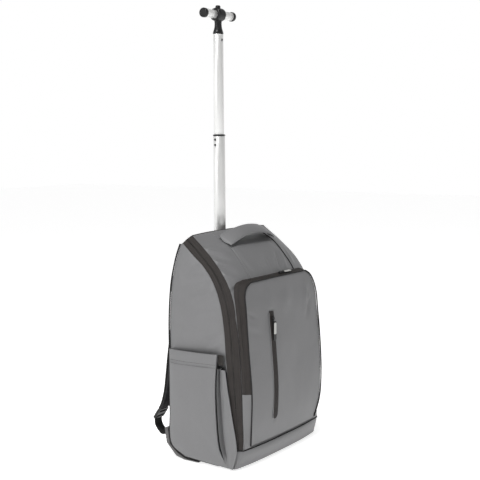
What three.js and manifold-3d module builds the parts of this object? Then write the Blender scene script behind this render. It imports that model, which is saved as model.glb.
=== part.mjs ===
// Wheeled backpack with a telescopic single pole, in millimetres.
// +Z is up, -Y is the front with the pocket, +Y is the side that lies on the wearer's back.
// Tables hold shares: of the bag's height, of the body's depth counted from its middle, and of the
// bag's half width counted from the outside.
import * as THREE from 'three';
import { mergeVertices } from 'three/addons/utils/BufferGeometryUtils.js';
import Module from 'manifold-3d';

const wasm = await Module();
wasm.setup();

// Bag
const bagHeight = 500;
const bagWidth = 332;
const bodyDepth = 181;
const cloth = 2;
const backWall = 3;
const seamGap = 0.5;
const fitGap = 0.3;
const pipingRadius = 1.6;
const topSeamOffset = 90;
const bandCrown = 1.5;
const stepsPerRow = 2;

// Front pocket
const pocketReach = 25;
const pocketTopArch = 0.8;
const pocketBow = 4;
const sewnTopArch = 1.5;
const sewnInset = 0.8;
const zipGussetStart = 167;
const frontZipOffset = 56;
const frontZipWidth = 18;
const frontZipLow = 95;
const frontZipHigh = 332;
const tapeThickness = 1.2;
const sliderHeight = 328;
const pullerWidth = 11;
const pullerLength = 42;
const pullerThickness = 2;
const topSliderOffset = 18;
const topPullerLength = 26;
const sliderLength = 11;
const sliderThickness = 3.5;

// Side pockets
const hemHeight = 248;
const elasticWidth = 22;
const sidePocketBulge = 9;
const sidePanelBulge = 6;
const foldDip = 0.6;

// Wheels and guards
const baseBow = 9;
const wheelRadius = 30;
const wheelWidth = 27;
const wheelInset = 31;
const wheelRearReach = 32.5;
const wheelDepth = bodyDepth / 2 - wheelRearReach;
const axleRadius = 4;
const boreClearance = 0.45;
const archClearance = 3;
const archWall = 3;
const cheekWall = 3;
const wheelSideRoom = 6;
const guardThickness = 9;
const guardEnd = 62;
const rollTilt = Math.PI / 4;
const wheelProud = 2;
const footRadius = 8;
const footInset = 19;
const footFrontInset = 20.5;
const footDepth = footFrontInset - bodyDepth / 2;

// Trolley
const poleRearReach = 23.5;
const poleDepth = bodyDepth / 2 - poleRearReach;
const poleWall = 1.5;
const lowerPoleHalf = { x: 15.5, y: 12.2 };
const slideGap = 0.5;
const channelGap = 0.6;
const lowerPoleShown = 211;
const upperPoleShown = 228;
const lowerPoleOverlap = 64;
const upperPoleOverlap = 52;
const ringHeight = 3;
const ringLip = 0.8;
const collarHeight = 12;
const collarLip = 6;
const crossBarHeight = 12;
const crossBarDepth = 26;
const crossBarLift = 42;
const neckHeight = 27;
const neckTop = { x: 8.5, y: 7.5 };
const hubRadius = 14.5;
const hubLength = 27;
const hubRise = 43;
const gripLength = 116;
const gripRadius = 9.5;
const gripWall = 2;
const capRadius = 10.6;
const capLength = 9;
const capShoulder = 0.75;
const buttonHalf = { x: 7, y: 5 };
const buttonRise = 6;
const rivetRadius = 2.6;
const rivetHeight = 1;
const rivetDrops = { high: 8, low: 20, front: 13 };
const buttonTravel = 3;

// Carrying
const handleLength = 180;
const handleWidth = 40;
const handleThickness = 7;
const handleArch = 20;
const strapWidth = 62;
const strapThickness = 13;
const webbingWidth = 25;
const webbingThickness = 1.6;
const webbingSag = { back: 20, down: 32 };
const webbingStart = { back: 2, down: 14 };
const webbingStandOff = 12;
const lockWidth = 34;
const lockHeight = 30;
const lockThickness = 6;
const padThickness = 11;
const padWidth = 136;
const padLow = 130;
const padHigh = 412;
const padMiddleGap = 26;

const halfWidth = bagWidth / 2;
const left = -1;
const right = 1;

const colours = {
  coatedCloth: { color: 0x7c7c7f, roughness: 0.55, metalness: 0 },
  tape: { color: 0x38342f, roughness: 0.8, metalness: 0 },
  piping: { color: 0x1d1c1d, roughness: 0.6, metalness: 0 },
  webbing: { color: 0x2a2829, roughness: 0.85, metalness: 0 },
  mesh: { color: 0x262526, roughness: 0.95, metalness: 0 },
  moulded: { color: 0x3d3c3e, roughness: 0.5, metalness: 0 },
  blackPlastic: { color: 0x161617, roughness: 0.3, metalness: 0 },
  aluminium: { color: 0xd4d5d6, roughness: 0.3, metalness: 1 },
  pullTab: { color: 0xb9b8b6, roughness: 0.4, metalness: 0.3 },
  rubber: { color: 0x222223, roughness: 0.8, metalness: 0 },
};

const bag = new THREE.Group();

function vec(x, y, z) {
  return new THREE.Vector3(x, y, z);
}

function add(name, geometry, finish, group = bag) {
  const mesh = new THREE.Mesh(geometry, new THREE.MeshStandardMaterial(colours[finish]));
  mesh.name = name;
  group.add(mesh);
  return mesh;
}

function mirror(points) {
  return points.map((p) => vec(-p.x, p.y, p.z));
}

function mirrorGrid(grid) {
  return grid.map((row) => mirror(row));
}

// A smooth run through a table's points, with stepsPerRow steps from row to row.
function smooth(points, steps = stepsPerRow) {
  const curve = new THREE.CatmullRomCurve3(points, false, 'centripetal');
  return curve.getPoints((points.length - 1) * steps);
}

function smoothNumber(values, t) {
  const spots = values.map((value, i) => vec(i, value, 0));
  return new THREE.CatmullRomCurve3(spots, false, 'centripetal').getPoint(t).y;
}

// One closed body from points and triangles, with its faces turned outwards.
function closedBody(points, faces) {
  let volume = 0;
  for (const [a, b, c] of faces) {
    volume += points[a].dot(points[b].clone().cross(points[c]));
  }
  const turned = faces.flatMap(([a, b, c]) => (volume < 0 ? [a, c, b] : [a, b, c]));
  const geometry = new THREE.BufferGeometry();
  geometry.setAttribute('position', new THREE.Float32BufferAttribute(points.flatMap((p) => p.toArray()), 3));
  geometry.setIndex(turned);
  geometry.computeVertexNormals();
  return geometry;
}

// Booleans
function toSolid(geometry) {
  const bare = geometry.clone();
  for (const key of Object.keys(bare.attributes)) {
    if (key !== 'position') {
      bare.deleteAttribute(key);
    }
  }
  const merged = mergeVertices(bare, 1e-4);
  return new wasm.Manifold(new wasm.Mesh({
    numProp: 3,
    vertProperties: Float32Array.from(merged.attributes.position.array),
    triVerts: Uint32Array.from(merged.index.array),
  }));
}

function fromSolid(solid) {
  const data = solid.getMesh();
  const geometry = new THREE.BufferGeometry();
  geometry.setAttribute('position', new THREE.BufferAttribute(Float32Array.from(data.vertProperties), 3));
  geometry.setIndex(Array.from(data.triVerts));
  geometry.computeVertexNormals();
  return geometry;
}

function join(...geometries) {
  return fromSolid(geometries.map(toSolid).reduce((whole, piece) => whole.add(piece)));
}

function cut(geometry, ...cutters) {
  return fromSolid(cutters.map(toSolid).reduce((whole, piece) => whole.subtract(piece), toSolid(geometry)));
}

// A sewn sheet of cloth: outer points in rows, a wall inwards, and every edge half a seam gap short.
// core(p) is a point inside; at the edges the wall runs towards it, so neighbours end on one plane.
function sewnSheet(grid, wall, core, gap = seamGap) {
  const lastRow = grid.length - 1;
  const lastColumn = grid[0].length - 1;
  const clampTo = (value, top) => Math.min(Math.max(value, 0), top);
  const at = (i, j) => grid[clampTo(i, lastRow)][clampTo(j, lastColumn)];
  const outer = [];
  const inner = [];
  for (let i = 0; i <= lastRow; i += 1) {
    for (let j = 0; j <= lastColumn; j += 1) {
      const here = at(i, j);
      const toCore = core(here).clone().sub(here).normalize();
      const stepIn = vec(0, 0, 0);
      if (i === 0 || i === lastRow) {
        stepIn.add(at(i === 0 ? 1 : lastRow - 1, j).clone().sub(here).normalize());
      }
      if (j === 0 || j === lastColumn) {
        stepIn.add(at(i, j === 0 ? 1 : lastColumn - 1).clone().sub(here).normalize());
      }
      const onEdge = stepIn.lengthSq() > 0;
      const along = at(i + 1, j).clone().sub(at(i - 1, j));
      const across = at(i, j + 1).clone().sub(at(i, j - 1));
      const normal = along.cross(across).normalize();
      const inward = normal.multiplyScalar(normal.dot(toCore) < 0 ? -1 : 1);
      if (onEdge) {
        inward.copy(toCore).multiplyScalar(1.3);
      }
      const face = here.clone().addScaledVector(stepIn, gap / 2);
      outer.push(face);
      inner.push(face.clone().addScaledVector(inward, wall));
    }
  }
  const width = lastColumn + 1;
  const total = outer.length;
  const faces = [];
  const quad = (a, b, c, d) => faces.push([a, b, c], [a, c, d]);
  for (let i = 0; i < lastRow; i += 1) {
    for (let j = 0; j < lastColumn; j += 1) {
      const a = i * width + j;
      quad(a, a + 1, a + width + 1, a + width);
      quad(total + a, total + a + width, total + a + width + 1, total + a + 1);
    }
  }
  for (let j = 0; j < lastColumn; j += 1) {
    const top = lastRow * width + j;
    quad(j + 1, j, total + j, total + j + 1);
    quad(top, top + 1, total + top + 1, total + top);
  }
  for (let i = 0; i < lastRow; i += 1) {
    const near = i * width;
    const far = near + lastColumn;
    quad(near, near + width, total + near + width, total + near);
    quad(far + width, far, total + far, total + far + width);
  }
  return closedBody([...outer, ...inner], faces);
}

// A padded band or webbing: a rounded flat section carried along stations.
// Each station has a centre, a width direction, a width and a thickness.
function band(stations, roundness = 0.3) {
  const corners = [
    [-1, -1 + 2 * roundness], [-1 + roundness * 0.5, -1], [1 - roundness * 0.5, -1], [1, -1 + 2 * roundness],
    [1, 1 - 2 * roundness], [1 - roundness * 0.5, 1], [-1 + roundness * 0.5, 1], [-1, 1 - 2 * roundness],
  ];
  const points = [];
  const faces = [];
  stations.forEach((station, i) => {
    const before = stations[Math.max(i - 1, 0)].centre;
    const after = stations[Math.min(i + 1, stations.length - 1)].centre;
    const along = after.clone().sub(before).normalize();
    const wide = station.wide.clone().addScaledVector(along, -station.wide.dot(along)).normalize();
    const thick = along.clone().cross(wide).normalize();
    for (const [a, b] of corners) {
      const point = station.centre.clone().addScaledVector(wide, (a * station.width) / 2);
      points.push(point.addScaledVector(thick, (b * station.thickness) / 2));
    }
  });
  const sides = corners.length;
  for (let i = 0; i < stations.length - 1; i += 1) {
    for (let k = 0; k < sides; k += 1) {
      const a = i * sides + k;
      const b = i * sides + ((k + 1) % sides);
      faces.push([a, b, b + sides], [a, b + sides, a + sides]);
    }
  }
  const end = (stations.length - 1) * sides;
  for (let k = 1; k < sides - 1; k += 1) {
    faces.push([0, k + 1, k], [end, end + k, end + k + 1]);
  }
  return closedBody(points, faces);
}

function tube(points, radius, steps, sides = 5) {
  const shape = new THREE.Shape();
  for (let k = 0; k < sides; k += 1) {
    const angle = (k / sides) * Math.PI * 2;
    const place = [radius * Math.cos(angle), radius * Math.sin(angle)];
    if (k === 0) {
      shape.moveTo(...place);
    } else {
      shape.lineTo(...place);
    }
  }
  shape.closePath();
  const path = new THREE.CatmullRomCurve3(points, false, 'centripetal');
  return new THREE.ExtrudeGeometry(shape, { steps, extrudePath: path, bevelEnabled: false });
}

// An outline in Y and Z, carried along X from one place to another.
function alongX(outline, from, to) {
  const shape = new THREE.Shape(outline.map(([y, z]) => new THREE.Vector2(y, z)));
  const depth = to - from;
  const geometry = new THREE.ExtrudeGeometry(shape, { depth, bevelEnabled: false });
  const turn = new THREE.Matrix4().makeBasis(vec(0, 1, 0), vec(0, 0, 1), vec(1, 0, 0));
  return geometry.applyMatrix4(turn).translate(from, 0, 0);
}

function oval(half, low, high, hollow = null, sides = 20) {
  const ring = (size) => Array.from({ length: sides }, (_, k) => {
    const angle = (k / sides) * Math.PI * 2;
    return new THREE.Vector2(size.x * Math.cos(angle), size.y * Math.sin(angle));
  });
  const shape = new THREE.Shape(ring(half));
  if (hollow) {
    shape.holes.push(new THREE.Path(ring(hollow)));
  }
  const geometry = new THREE.ExtrudeGeometry(shape, { depth: high - low, bevelEnabled: false });
  return geometry.translate(0, poleDepth, low);
}

function grown(half, amount) {
  return { x: half.x + amount, y: half.y + amount };
}

// Seams of the bag's left side, from the floor to the top: shares of height, depth and half width.
const sideSeams = [
  { rearUp: 0.010, rearIn: -0.442, rearInset: 0.006, frontUp: 0.010, frontIn: -0.475, frontInset: 0.008, crown: 0, backUp: 0.023, backIn: 0.265, backInset: 0.012 },
  { rearUp: 0.090, rearIn: -0.459, rearInset: 0.012, frontUp: 0.090, frontIn: -0.547, frontInset: 0.060, crown: 0.033, backUp: 0.066, backIn: 0.475, backInset: 0.024 },
  { rearUp: 0.238, rearIn: -0.414, rearInset: 0.012, frontUp: 0.238, frontIn: -0.544, frontInset: 0.060, crown: -0.011, backUp: 0.220, backIn: 0.495, backInset: 0.024 },
  { rearUp: 0.370, rearIn: -0.376, rearInset: 0.012, frontUp: 0.370, frontIn: -0.533, frontInset: 0.060, crown: -0.006, backUp: 0.360, backIn: 0.495, backInset: 0.024 },
  { rearUp: 0.500, rearIn: -0.343, rearInset: 0.012, frontUp: 0.500, frontIn: -0.514, frontInset: 0.060, crown: 0.006, backUp: 0.494, backIn: 0.495, backInset: 0.024 },
  { rearUp: 0.624, rearIn: -0.315, rearInset: 0.012, frontUp: 0.632, frontIn: -0.472, frontInset: 0.060, crown: 0.017, backUp: 0.620, backIn: 0.492, backInset: 0.024 },
  { rearUp: 0.712, rearIn: -0.271, rearInset: 0.012, frontUp: 0.724, frontIn: -0.431, frontInset: 0.060, crown: 0.050, backUp: 0.712, backIn: 0.481, backInset: 0.030 },
  { rearUp: 0.794, rearIn: -0.182, rearInset: 0.018, frontUp: 0.794, frontIn: -0.354, frontInset: 0.066, crown: 0.098, backUp: 0.790, backIn: 0.464, backInset: 0.042 },
  { rearUp: 0.862, rearIn: -0.039, rearInset: 0.030, frontUp: 0.854, frontIn: -0.238, frontInset: 0.078, crown: 0.102, backUp: 0.856, backIn: 0.431, backInset: 0.054 },
  { rearUp: 0.916, rearIn: 0.149, rearInset: 0.048, frontUp: 0.920, frontIn: -0.050, frontInset: 0.108, crown: 0.112, backUp: 0.912, backIn: 0.392, backInset: 0.066 },
  { rearUp: 0.962, rearIn: 0.324, rearInset: 0.084, frontUp: 0.997, frontIn: 0.221, frontInset: 0.145, crown: 0.028, backUp: 0.956, backIn: 0.354, backInset: 0.084 },
];

function seamPoints(kind) {
  return smooth(sideSeams.map((row) => vec(
    -halfWidth * (1 - row[`${kind}Inset`]),
    bodyDepth * row[`${kind}In`],
    bagHeight * row[`${kind}Up`],
  )));
}

const bandRear = seamPoints('rear');
const bandFront = seamPoints('front');
const sideBack = seamPoints('back');
const topStation = bandRear.length - 1;
const baseStation = stepsPerRow;
const crownAt = (i) => bodyDepth * smoothNumber(sideSeams.map((row) => row.crown), i / topStation);

function bodyCore(p) {
  return vec(0, bodyDepth * 0.03, Math.min(Math.max(p.z, bagHeight * 0.25), bagHeight * 0.75));
}

// The top and front of the bag: rows across from the left band to the right one, crowned between.
function frontRow(i, shares) {
  const seam = bandFront[i];
  const before = bandFront[Math.max(i - 1, 0)];
  const after = bandFront[Math.min(i + 1, topStation)];
  const run = vec(0, after.y - before.y, after.z - before.z).normalize();
  const lift = crownAt(i);
  return shares.map((share) => {
    const rise = lift * (1 - Math.abs(share) ** 3);
    return vec(-seam.x * share, seam.y - run.z * rise, seam.z + run.y * rise);
  });
}

const seamShare = topSeamOffset / Math.abs(bandFront[baseStation].x);
const stripShares = [-1, -(2 + seamShare) / 3, -(1 + 2 * seamShare) / 3, -seamShare];
const centreShares = [-1, -0.66, -0.33, 0, 0.33, 0.66, 1].map((share) => share * seamShare);
const allShares = [...stripShares, ...centreShares.slice(1), ...stripShares.map((share) => -share).reverse().slice(1)];
const stations = Array.from({ length: topStation - baseStation + 1 }, (_, k) => baseStation + k);
const leftStrip = stations.map((i) => frontRow(i, stripShares));
const centreStrip = stations.map((i) => frontRow(i, centreShares));

add('top_front_centre', sewnSheet(centreStrip, cloth, bodyCore), 'coatedCloth');
add('top_front_left', sewnSheet(leftStrip, cloth, bodyCore), 'coatedCloth');
add('top_front_right', sewnSheet(mirrorGrid(leftStrip), cloth, bodyCore), 'coatedCloth');

// How far forward the body's front lies at a place across and a height.
function bodyFrontAt(x, z) {
  const spot = (i) => frontRow(i, [Math.max(-1, -Math.abs(x / bandFront[i].x))])[0];
  let i = baseStation;
  while (i < topStation - 1 && spot(i + 1).z < z) {
    i += 1;
  }
  const low = spot(i);
  const high = spot(i + 1);
  return THREE.MathUtils.lerp(low.y, high.y, (z - low.z) / (high.z - low.z));
}

// Main zip bands.
const bandGrid = bandFront.map((front, i) => [0, 0.5, 1].map((t) => {
  const point = front.clone().lerp(bandRear[i], t);
  point.x -= Math.sin(t * Math.PI) * bandCrown;
  return point;
}));
add('zip_band_left', sewnSheet(bandGrid, cloth, bodyCore), 'tape');
add('zip_band_right', sewnSheet(mirrorGrid(bandGrid), cloth, bodyCore), 'tape');

// The band goes on behind the top ridge, and a ledge with the pole's collar lies behind it.
const ridge = frontRow(topStation, allShares);
const ledgeFront = allShares.map((share) => {
  const flat = 1 - Math.abs(share) ** 4;
  const end = bandRear[topStation];
  const back = sideBack[topStation];
  return vec(-end.x * share, end.y - flat * (end.y - ridge[6].y - cloth * 4), end.z - flat * (end.z - back.z));
});
const bandTopGrid = [ridge, ridge.map((p, k) => p.clone().lerp(ledgeFront[k], 0.5)), ledgeFront];
for (const row of [0, 1, 2]) {
  bandTopGrid[row][0] = bandGrid[topStation][row].clone();
  bandTopGrid[row][allShares.length - 1] = mirror([bandGrid[topStation][row]])[0];
}
add('zip_band_top', sewnSheet(bandTopGrid, cloth, bodyCore), 'tape');

// Back panel: from seam to seam, its middle lying on one upright plane.
const backPlane = bodyDepth * 0.5;
function backRow(i) {
  const seam = sideBack[i];
  return allShares.map((share) => {
    const flat = 1 - Math.abs(share) ** 3.5;
    return vec(-seam.x * share, seam.y + (backPlane - seam.y) * flat, seam.z);
  });
}
const cornerStation = stepsPerRow + 1;
const backRows = stations.filter((i) => i >= cornerStation).map(backRow);
add('back_panel', sewnSheet(backRows, backWall, bodyCore), 'mesh');

// Ledge between the band behind the ridge and the back panel, with an oval hole for the pole.
const channelInner = grown(lowerPoleHalf, channelGap);
const channelOuter = grown(channelInner, poleWall);
const ledgeBack = backRow(topStation);
const ledgeGrid = [ledgeFront, ledgeFront.map((p, k) => p.clone().lerp(ledgeBack[k], 0.5)), ledgeBack];
const ledgeHole = oval(grown(channelOuter, fitGap * 2), bagHeight * 0.8, bagHeight * 1.1);
add('rear_ledge', cut(sewnSheet(ledgeGrid, cloth, bodyCore), ledgeHole), 'coatedCloth');

// Side panels: full between the band and the back seam, pressed in behind the side pocket.
const sideShares = [0, 0.12, 0.3, 0.5, 0.72, 0.9, 1];
const sideGrid = bandRear.map((front, i) => sideShares.map((t) => {
  const point = front.clone().lerp(sideBack[i], t);
  const upper = THREE.MathUtils.smoothstep(point.z, hemHeight * 0.84, hemHeight * 1.2);
  const pressed = -sidePanelBulge * THREE.MathUtils.smoothstep(point.z, guardEnd * 1.32, guardEnd * 2.3);
  const bulge = THREE.MathUtils.lerp(pressed, sidePanelBulge, upper);
  point.x -= bulge * 4 * t * (1 - t) * Math.min(1, (topStation - i) / 4, i / 2);
  return point;
}));
add('side_panel_left', sewnSheet(sideGrid, cloth, bodyCore), 'coatedCloth');
add('side_panel_right', sewnSheet(mirrorGrid(sideGrid), cloth, bodyCore), 'coatedCloth');

// Base: one tray whose side edges are the bottom seams of the bands and the side panels.
const baseEdge = [
  bandFront[2], bandFront[1], bandFront[0], ...sideGrid[0], ...sideBack.slice(1, cornerStation + 1),
];
const baseGrid = baseEdge.map((edge, k) => allShares.map((share) => {
  const bow = k < 4 ? baseBow : 0;
  return vec(-edge.x * share, edge.y - bow * (1 - Math.abs(share) ** 3), edge.z);
}));
baseGrid[0] = frontRow(baseStation, allShares);
baseGrid[baseGrid.length - 1] = backRow(cornerStation);

// Wheel guards: a curved corner shell with a wheel arch, two cheeks and a slot for the wheel.
const wheelCentre = -halfWidth + wheelInset;
const slotOuter = wheelCentre - wheelWidth / 2 - wheelSideRoom;
const slotInner = wheelCentre + wheelWidth / 2 + wheelSideRoom;
const archRadius = wheelRadius + archClearance;

function wheelDisc(radius, floor, sides = 28) {
  const start = Math.asin(Math.max((floor - wheelRadius) / radius, -1));
  return Array.from({ length: sides + 1 }, (_, k) => {
    const angle = start + (k / sides) * (Math.PI - 2 * start);
    return [wheelDepth + radius * Math.cos(angle), wheelRadius + radius * Math.sin(angle)];
  });
}

function cornerOffset(points, distance) {
  return points.map((p, k) => {
    const before = points[Math.max(k - 1, 0)];
    const after = points[Math.min(k + 1, points.length - 1)];
    const run = vec(0, after.y - before.y, after.z - before.z).normalize();
    return [p.y + run.z * distance(k / (points.length - 1)), p.z - run.y * distance(k / (points.length - 1))];
  });
}

const cornerRun = [...sideGrid[0].slice(4), ...sideBack.slice(1, 6)].filter((p) => p.z < guardEnd + 25);
const pipingStand = pipingRadius * 1.35 + fitGap * 2.5;
const guardGap = pipingStand + pipingRadius + fitGap * 5;
const guardInner = cornerOffset(cornerRun, () => guardGap);
const guardOuter = cornerOffset(cornerRun, (t) => guardGap + guardThickness * Math.min(1, 0.35 + t * 2.2));
const guardOutline = [...guardInner, ...guardOuter.reverse()].map(([y, z]) => [y, Math.max(z, 2)]);
const guardShell = alongX(guardOutline, -halfWidth + 1, slotInner + cheekWall);
const outerCheek = alongX(wheelDisc(archRadius + archWall, 3), slotOuter - cheekWall, slotOuter);
const innerCheek = alongX(wheelDisc(archRadius + archWall, 3), slotInner, slotInner + cheekWall);
const archBlock = alongX(wheelDisc(archRadius + archWall, 3), slotOuter, slotInner);
const archHollow = alongX(wheelDisc(archRadius, -2 * wheelRadius), slotOuter, slotInner);

// The guard stays clear of the floor when the bag is tilted onto its wheels by rollTilt.
function rollClearance(steps = 4) {
  const radius = wheelRadius - wheelProud;
  const outline = Array.from({ length: steps + 1 }, (_, k) => {
    const angle = (k / steps) * rollTilt - Math.PI / 2;
    return [wheelDepth + radius * Math.cos(angle), wheelRadius + radius * Math.sin(angle)];
  });
  const [y, z] = outline[steps];
  const away = wheelRadius * 2;
  const farY = y + away * Math.cos(rollTilt);
  outline.push([farY, z + away * Math.sin(rollTilt)], [farY, -wheelRadius], [wheelDepth, -wheelRadius]);
  return outline;
}

const rollCut = alongX(rollClearance(), -halfWidth - guardThickness, slotInner + cheekWall * 2);
const guard = cut(join(guardShell, outerCheek, innerCheek, archBlock), archHollow, rollCut);
const wellCutter = alongX(
  wheelDisc(archRadius + archWall + fitGap * 2, -2 * wheelRadius),
  slotOuter - cheekWall - fitGap * 2,
  slotInner + cheekWall + fitGap * 2,
);
const otherWell = wellCutter.clone().applyMatrix4(new THREE.Matrix4().makeTranslation(
  -(slotOuter + slotInner), 0, 0));

add('base_panel', cut(sewnSheet(baseGrid, cloth, bodyCore), wellCutter, otherWell), 'coatedCloth');
add('wheel_guard_left', guard, 'moulded');
add('wheel_guard_right', mirrorBody(guard), 'moulded');

// Wheels on axles between the cheeks.
function wheelBody() {
  const half = wheelWidth / 2;
  const bore = axleRadius + boreClearance;
  const hub = wheelRadius * 0.36;
  const rim = wheelRadius * 0.68;
  const profile = [
    [bore, -half], [hub, -half], [hub, -half * 0.55], [rim, -half * 0.55], [rim, -half * 0.8],
    [wheelRadius * 0.96, -half * 0.8], [wheelRadius, -half * 0.5], [wheelRadius, half * 0.5],
    [wheelRadius * 0.96, half * 0.8], [rim, half * 0.8], [rim, half * 0.55], [hub, half * 0.55],
    [hub, half], [bore, half], [bore, -half],
  ];
  const lathe = new THREE.LatheGeometry(profile.map(([r, s]) => new THREE.Vector2(r, s)), 18);
  return lathe.rotateZ(Math.PI / 2);
}

for (const side of [left, right]) {
  const label = side === left ? 'left' : 'right';
  const wheel = add(`wheel_${label}`, wheelBody(), 'rubber');
  wheel.position.set(-side * wheelCentre, wheelDepth, wheelRadius);
  const reach = slotInner - slotOuter - 2 * fitGap;
  const axle = add(`axle_${label}`, new THREE.CylinderGeometry(axleRadius, axleRadius, reach, 12), 'aluminium');
  axle.rotation.z = Math.PI / 2;
  axle.position.set(wheel.position.x, wheelDepth, wheelRadius);
  const footHeight = sideGrid[0][0].z - fitGap;
  const foot = add(`front_foot_${label}`, new THREE.CylinderGeometry(footRadius, footRadius - 1, footHeight, 14), 'rubber');
  foot.rotation.x = Math.PI / 2;
  foot.position.set(side * (halfWidth - footInset), footDepth, footHeight / 2);
}

// Front pocket: the left half of its outline and of the seam that it is sewn to.
const pocketSide = [
  { up: 0.094, wide: 0.790, reach: 0.14, sewnWide: 0.915, sewnUp: 0.094 },
  { up: 0.200, wide: 0.861, reach: 0.54, sewnWide: 0.934, sewnUp: 0.200 },
  { up: 0.334, wide: 0.873, reach: 0.74, sewnWide: 0.934, sewnUp: 0.334 },
  { up: 0.500, wide: 0.886, reach: 0.70, sewnWide: 0.934, sewnUp: 0.500 },
  { up: 0.620, wide: 0.880, reach: 0.76, sewnWide: 0.934, sewnUp: 0.622 },
  { up: 0.700, wide: 0.873, reach: 0.84, sewnWide: 0.928, sewnUp: 0.712 },
  { up: 0.750, wide: 0.849, reach: 0.90, sewnWide: 0.898, sewnUp: 0.768 },
  { up: 0.782, wide: 0.789, reach: 1.04, sewnWide: 0.831, sewnUp: 0.800 },
  { up: 0.802, wide: 0.675, reach: 1.22, sewnWide: 0.705, sewnUp: 0.812 },
];
const pocketShares = [-1, -0.8, -0.5, -0.17, 0.17, 0.5, 0.8, 1];

function bandAt(z) {
  return bodyFrontAt(halfWidth, z);
}

function pocketCore(p) {
  const z = THREE.MathUtils.clamp(p.z, bagHeight * 0.2, bagHeight * 0.7);
  return vec(0, bandAt(z) - pocketReach * 0.4, z);
}

const pocketEdge = smooth(pocketSide.map((row) => {
  const z = bagHeight * row.up;
  return vec(-halfWidth * row.wide, bandAt(z) - pocketReach * row.reach, z);
}));
const pocketSewn = smooth(pocketSide.map((row) => vec(-halfWidth * row.sewnWide, 0, bagHeight * row.sewnUp)))
  .map((p) => vec(p.x, bodyFrontAt(p.x * 0.975, p.z) - sewnInset, p.z));
const pocketTop = pocketEdge.length - 1;

function pocketRow(i, shares) {
  const edge = pocketEdge[i];
  const arch = i === pocketTop ? pocketTopArch : 0;
  return shares.map((share) => {
    const round = 1 - share * share;
    return vec(-edge.x * share, edge.y - pocketBow * round, edge.z + arch * round);
  });
}

const pocketGrid = pocketEdge.map((_, i) => pocketRow(i, pocketShares));
pocketGrid[0] = pocketRow(0, pocketShares).map((p) => vec(p.x, bodyFrontAt(p.x, p.z) - cloth - seamGap, p.z));
add('front_pocket_panel', sewnSheet(pocketGrid, cloth, pocketCore), 'coatedCloth');

// The gusset runs up one side, across the top and down the other side.
function pocketLoop(edge, topRow) {
  const upLeft = edge.slice(0, pocketTop);
  return [...upLeft, ...topRow, ...mirror(upLeft).reverse()];
}

const sewnTop = pocketShares.map((share) => {
  const end = pocketSewn[pocketTop];
  const z = end.z + sewnTopArch * (1 - share * share);
  return vec(-end.x * share, bodyFrontAt(end.x * share, z) - sewnInset, z);
});
const loopFront = pocketLoop(pocketEdge, pocketGrid[pocketTop]);
loopFront[0] = pocketGrid[0][0];
loopFront[loopFront.length - 1] = pocketGrid[0][pocketShares.length - 1];
const loopSewn = pocketLoop(pocketSewn, sewnTop);
const gussetGrid = loopFront.map((p, k) => [p, p.clone().lerp(loopSewn[k], 0.5), loopSewn[k]]);
const zipStart = pocketEdge.findIndex((p) => p.z > zipGussetStart - 1);
const zipEnd = gussetGrid.length - 1 - zipStart;
add('pocket_zip_gusset', sewnSheet(gussetGrid.slice(zipStart, zipEnd + 1), cloth, pocketCore), 'tape');
add('pocket_gusset_left', sewnSheet(gussetGrid.slice(0, zipStart + 1), cloth, pocketCore), 'coatedCloth');
add('pocket_gusset_right', sewnSheet(gussetGrid.slice(zipEnd), cloth, pocketCore), 'coatedCloth');

// Piping stands outside its seam, away from a core point and towards lean.
function pipingPath(points, core, lean) {
  return points.map((p) => {
    const out = p.clone().sub(core(p)).normalize().add(lean).normalize();
    return p.clone().addScaledVector(out, pipingRadius * 1.35 + fitGap);
  });
}

const pocketPiping = tube(pipingPath(loopFront.slice(1, -1), pocketCore, vec(0, -0.8, 0)), pipingRadius, 32);
add('pocket_piping', pocketPiping, 'piping');
for (const side of [left, right]) {
  const label = side === left ? 'left' : 'right';
  const rim = [...sideGrid[0].slice(2), ...sideBack.slice(1)];
  const seam = cornerOffset(rim, () => pipingStand).map(([y, z], k) => vec(rim[k].x - 0.8, y, z));
  const run = side === left ? seam : mirror(seam);
  add(`side_piping_${label}`, tube(run, pipingRadius, 22), 'piping');
}

// Upright zip on the front pocket, its slider and its pull tab.
function pocketFrontAt(x, z) {
  let i = 0;
  while (i < pocketTop - 1 && pocketEdge[i + 1].z < z) {
    i += 1;
  }
  const t = (z - pocketEdge[i].z) / (pocketEdge[i + 1].z - pocketEdge[i].z);
  const edge = pocketEdge[i].clone().lerp(pocketEdge[i + 1], t);
  return edge.y - pocketBow * (1 - (x / edge.x) ** 2);
}

const across = vec(1, 0, 0);
const zipRows = 9;
const zipFace = (z, lift) => pocketFrontAt(frontZipOffset, z) - fitGap * 2 - lift;
const frontZip = Array.from({ length: zipRows }, (_, k) => {
  const z = THREE.MathUtils.lerp(frontZipLow, frontZipHigh, k / (zipRows - 1));
  return {
    centre: vec(-frontZipOffset, zipFace(z, tapeThickness / 2), z),
    wide: across,
    width: frontZipWidth,
    thickness: tapeThickness,
  };
});
add('front_zip', band(frontZip), 'tape');

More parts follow.
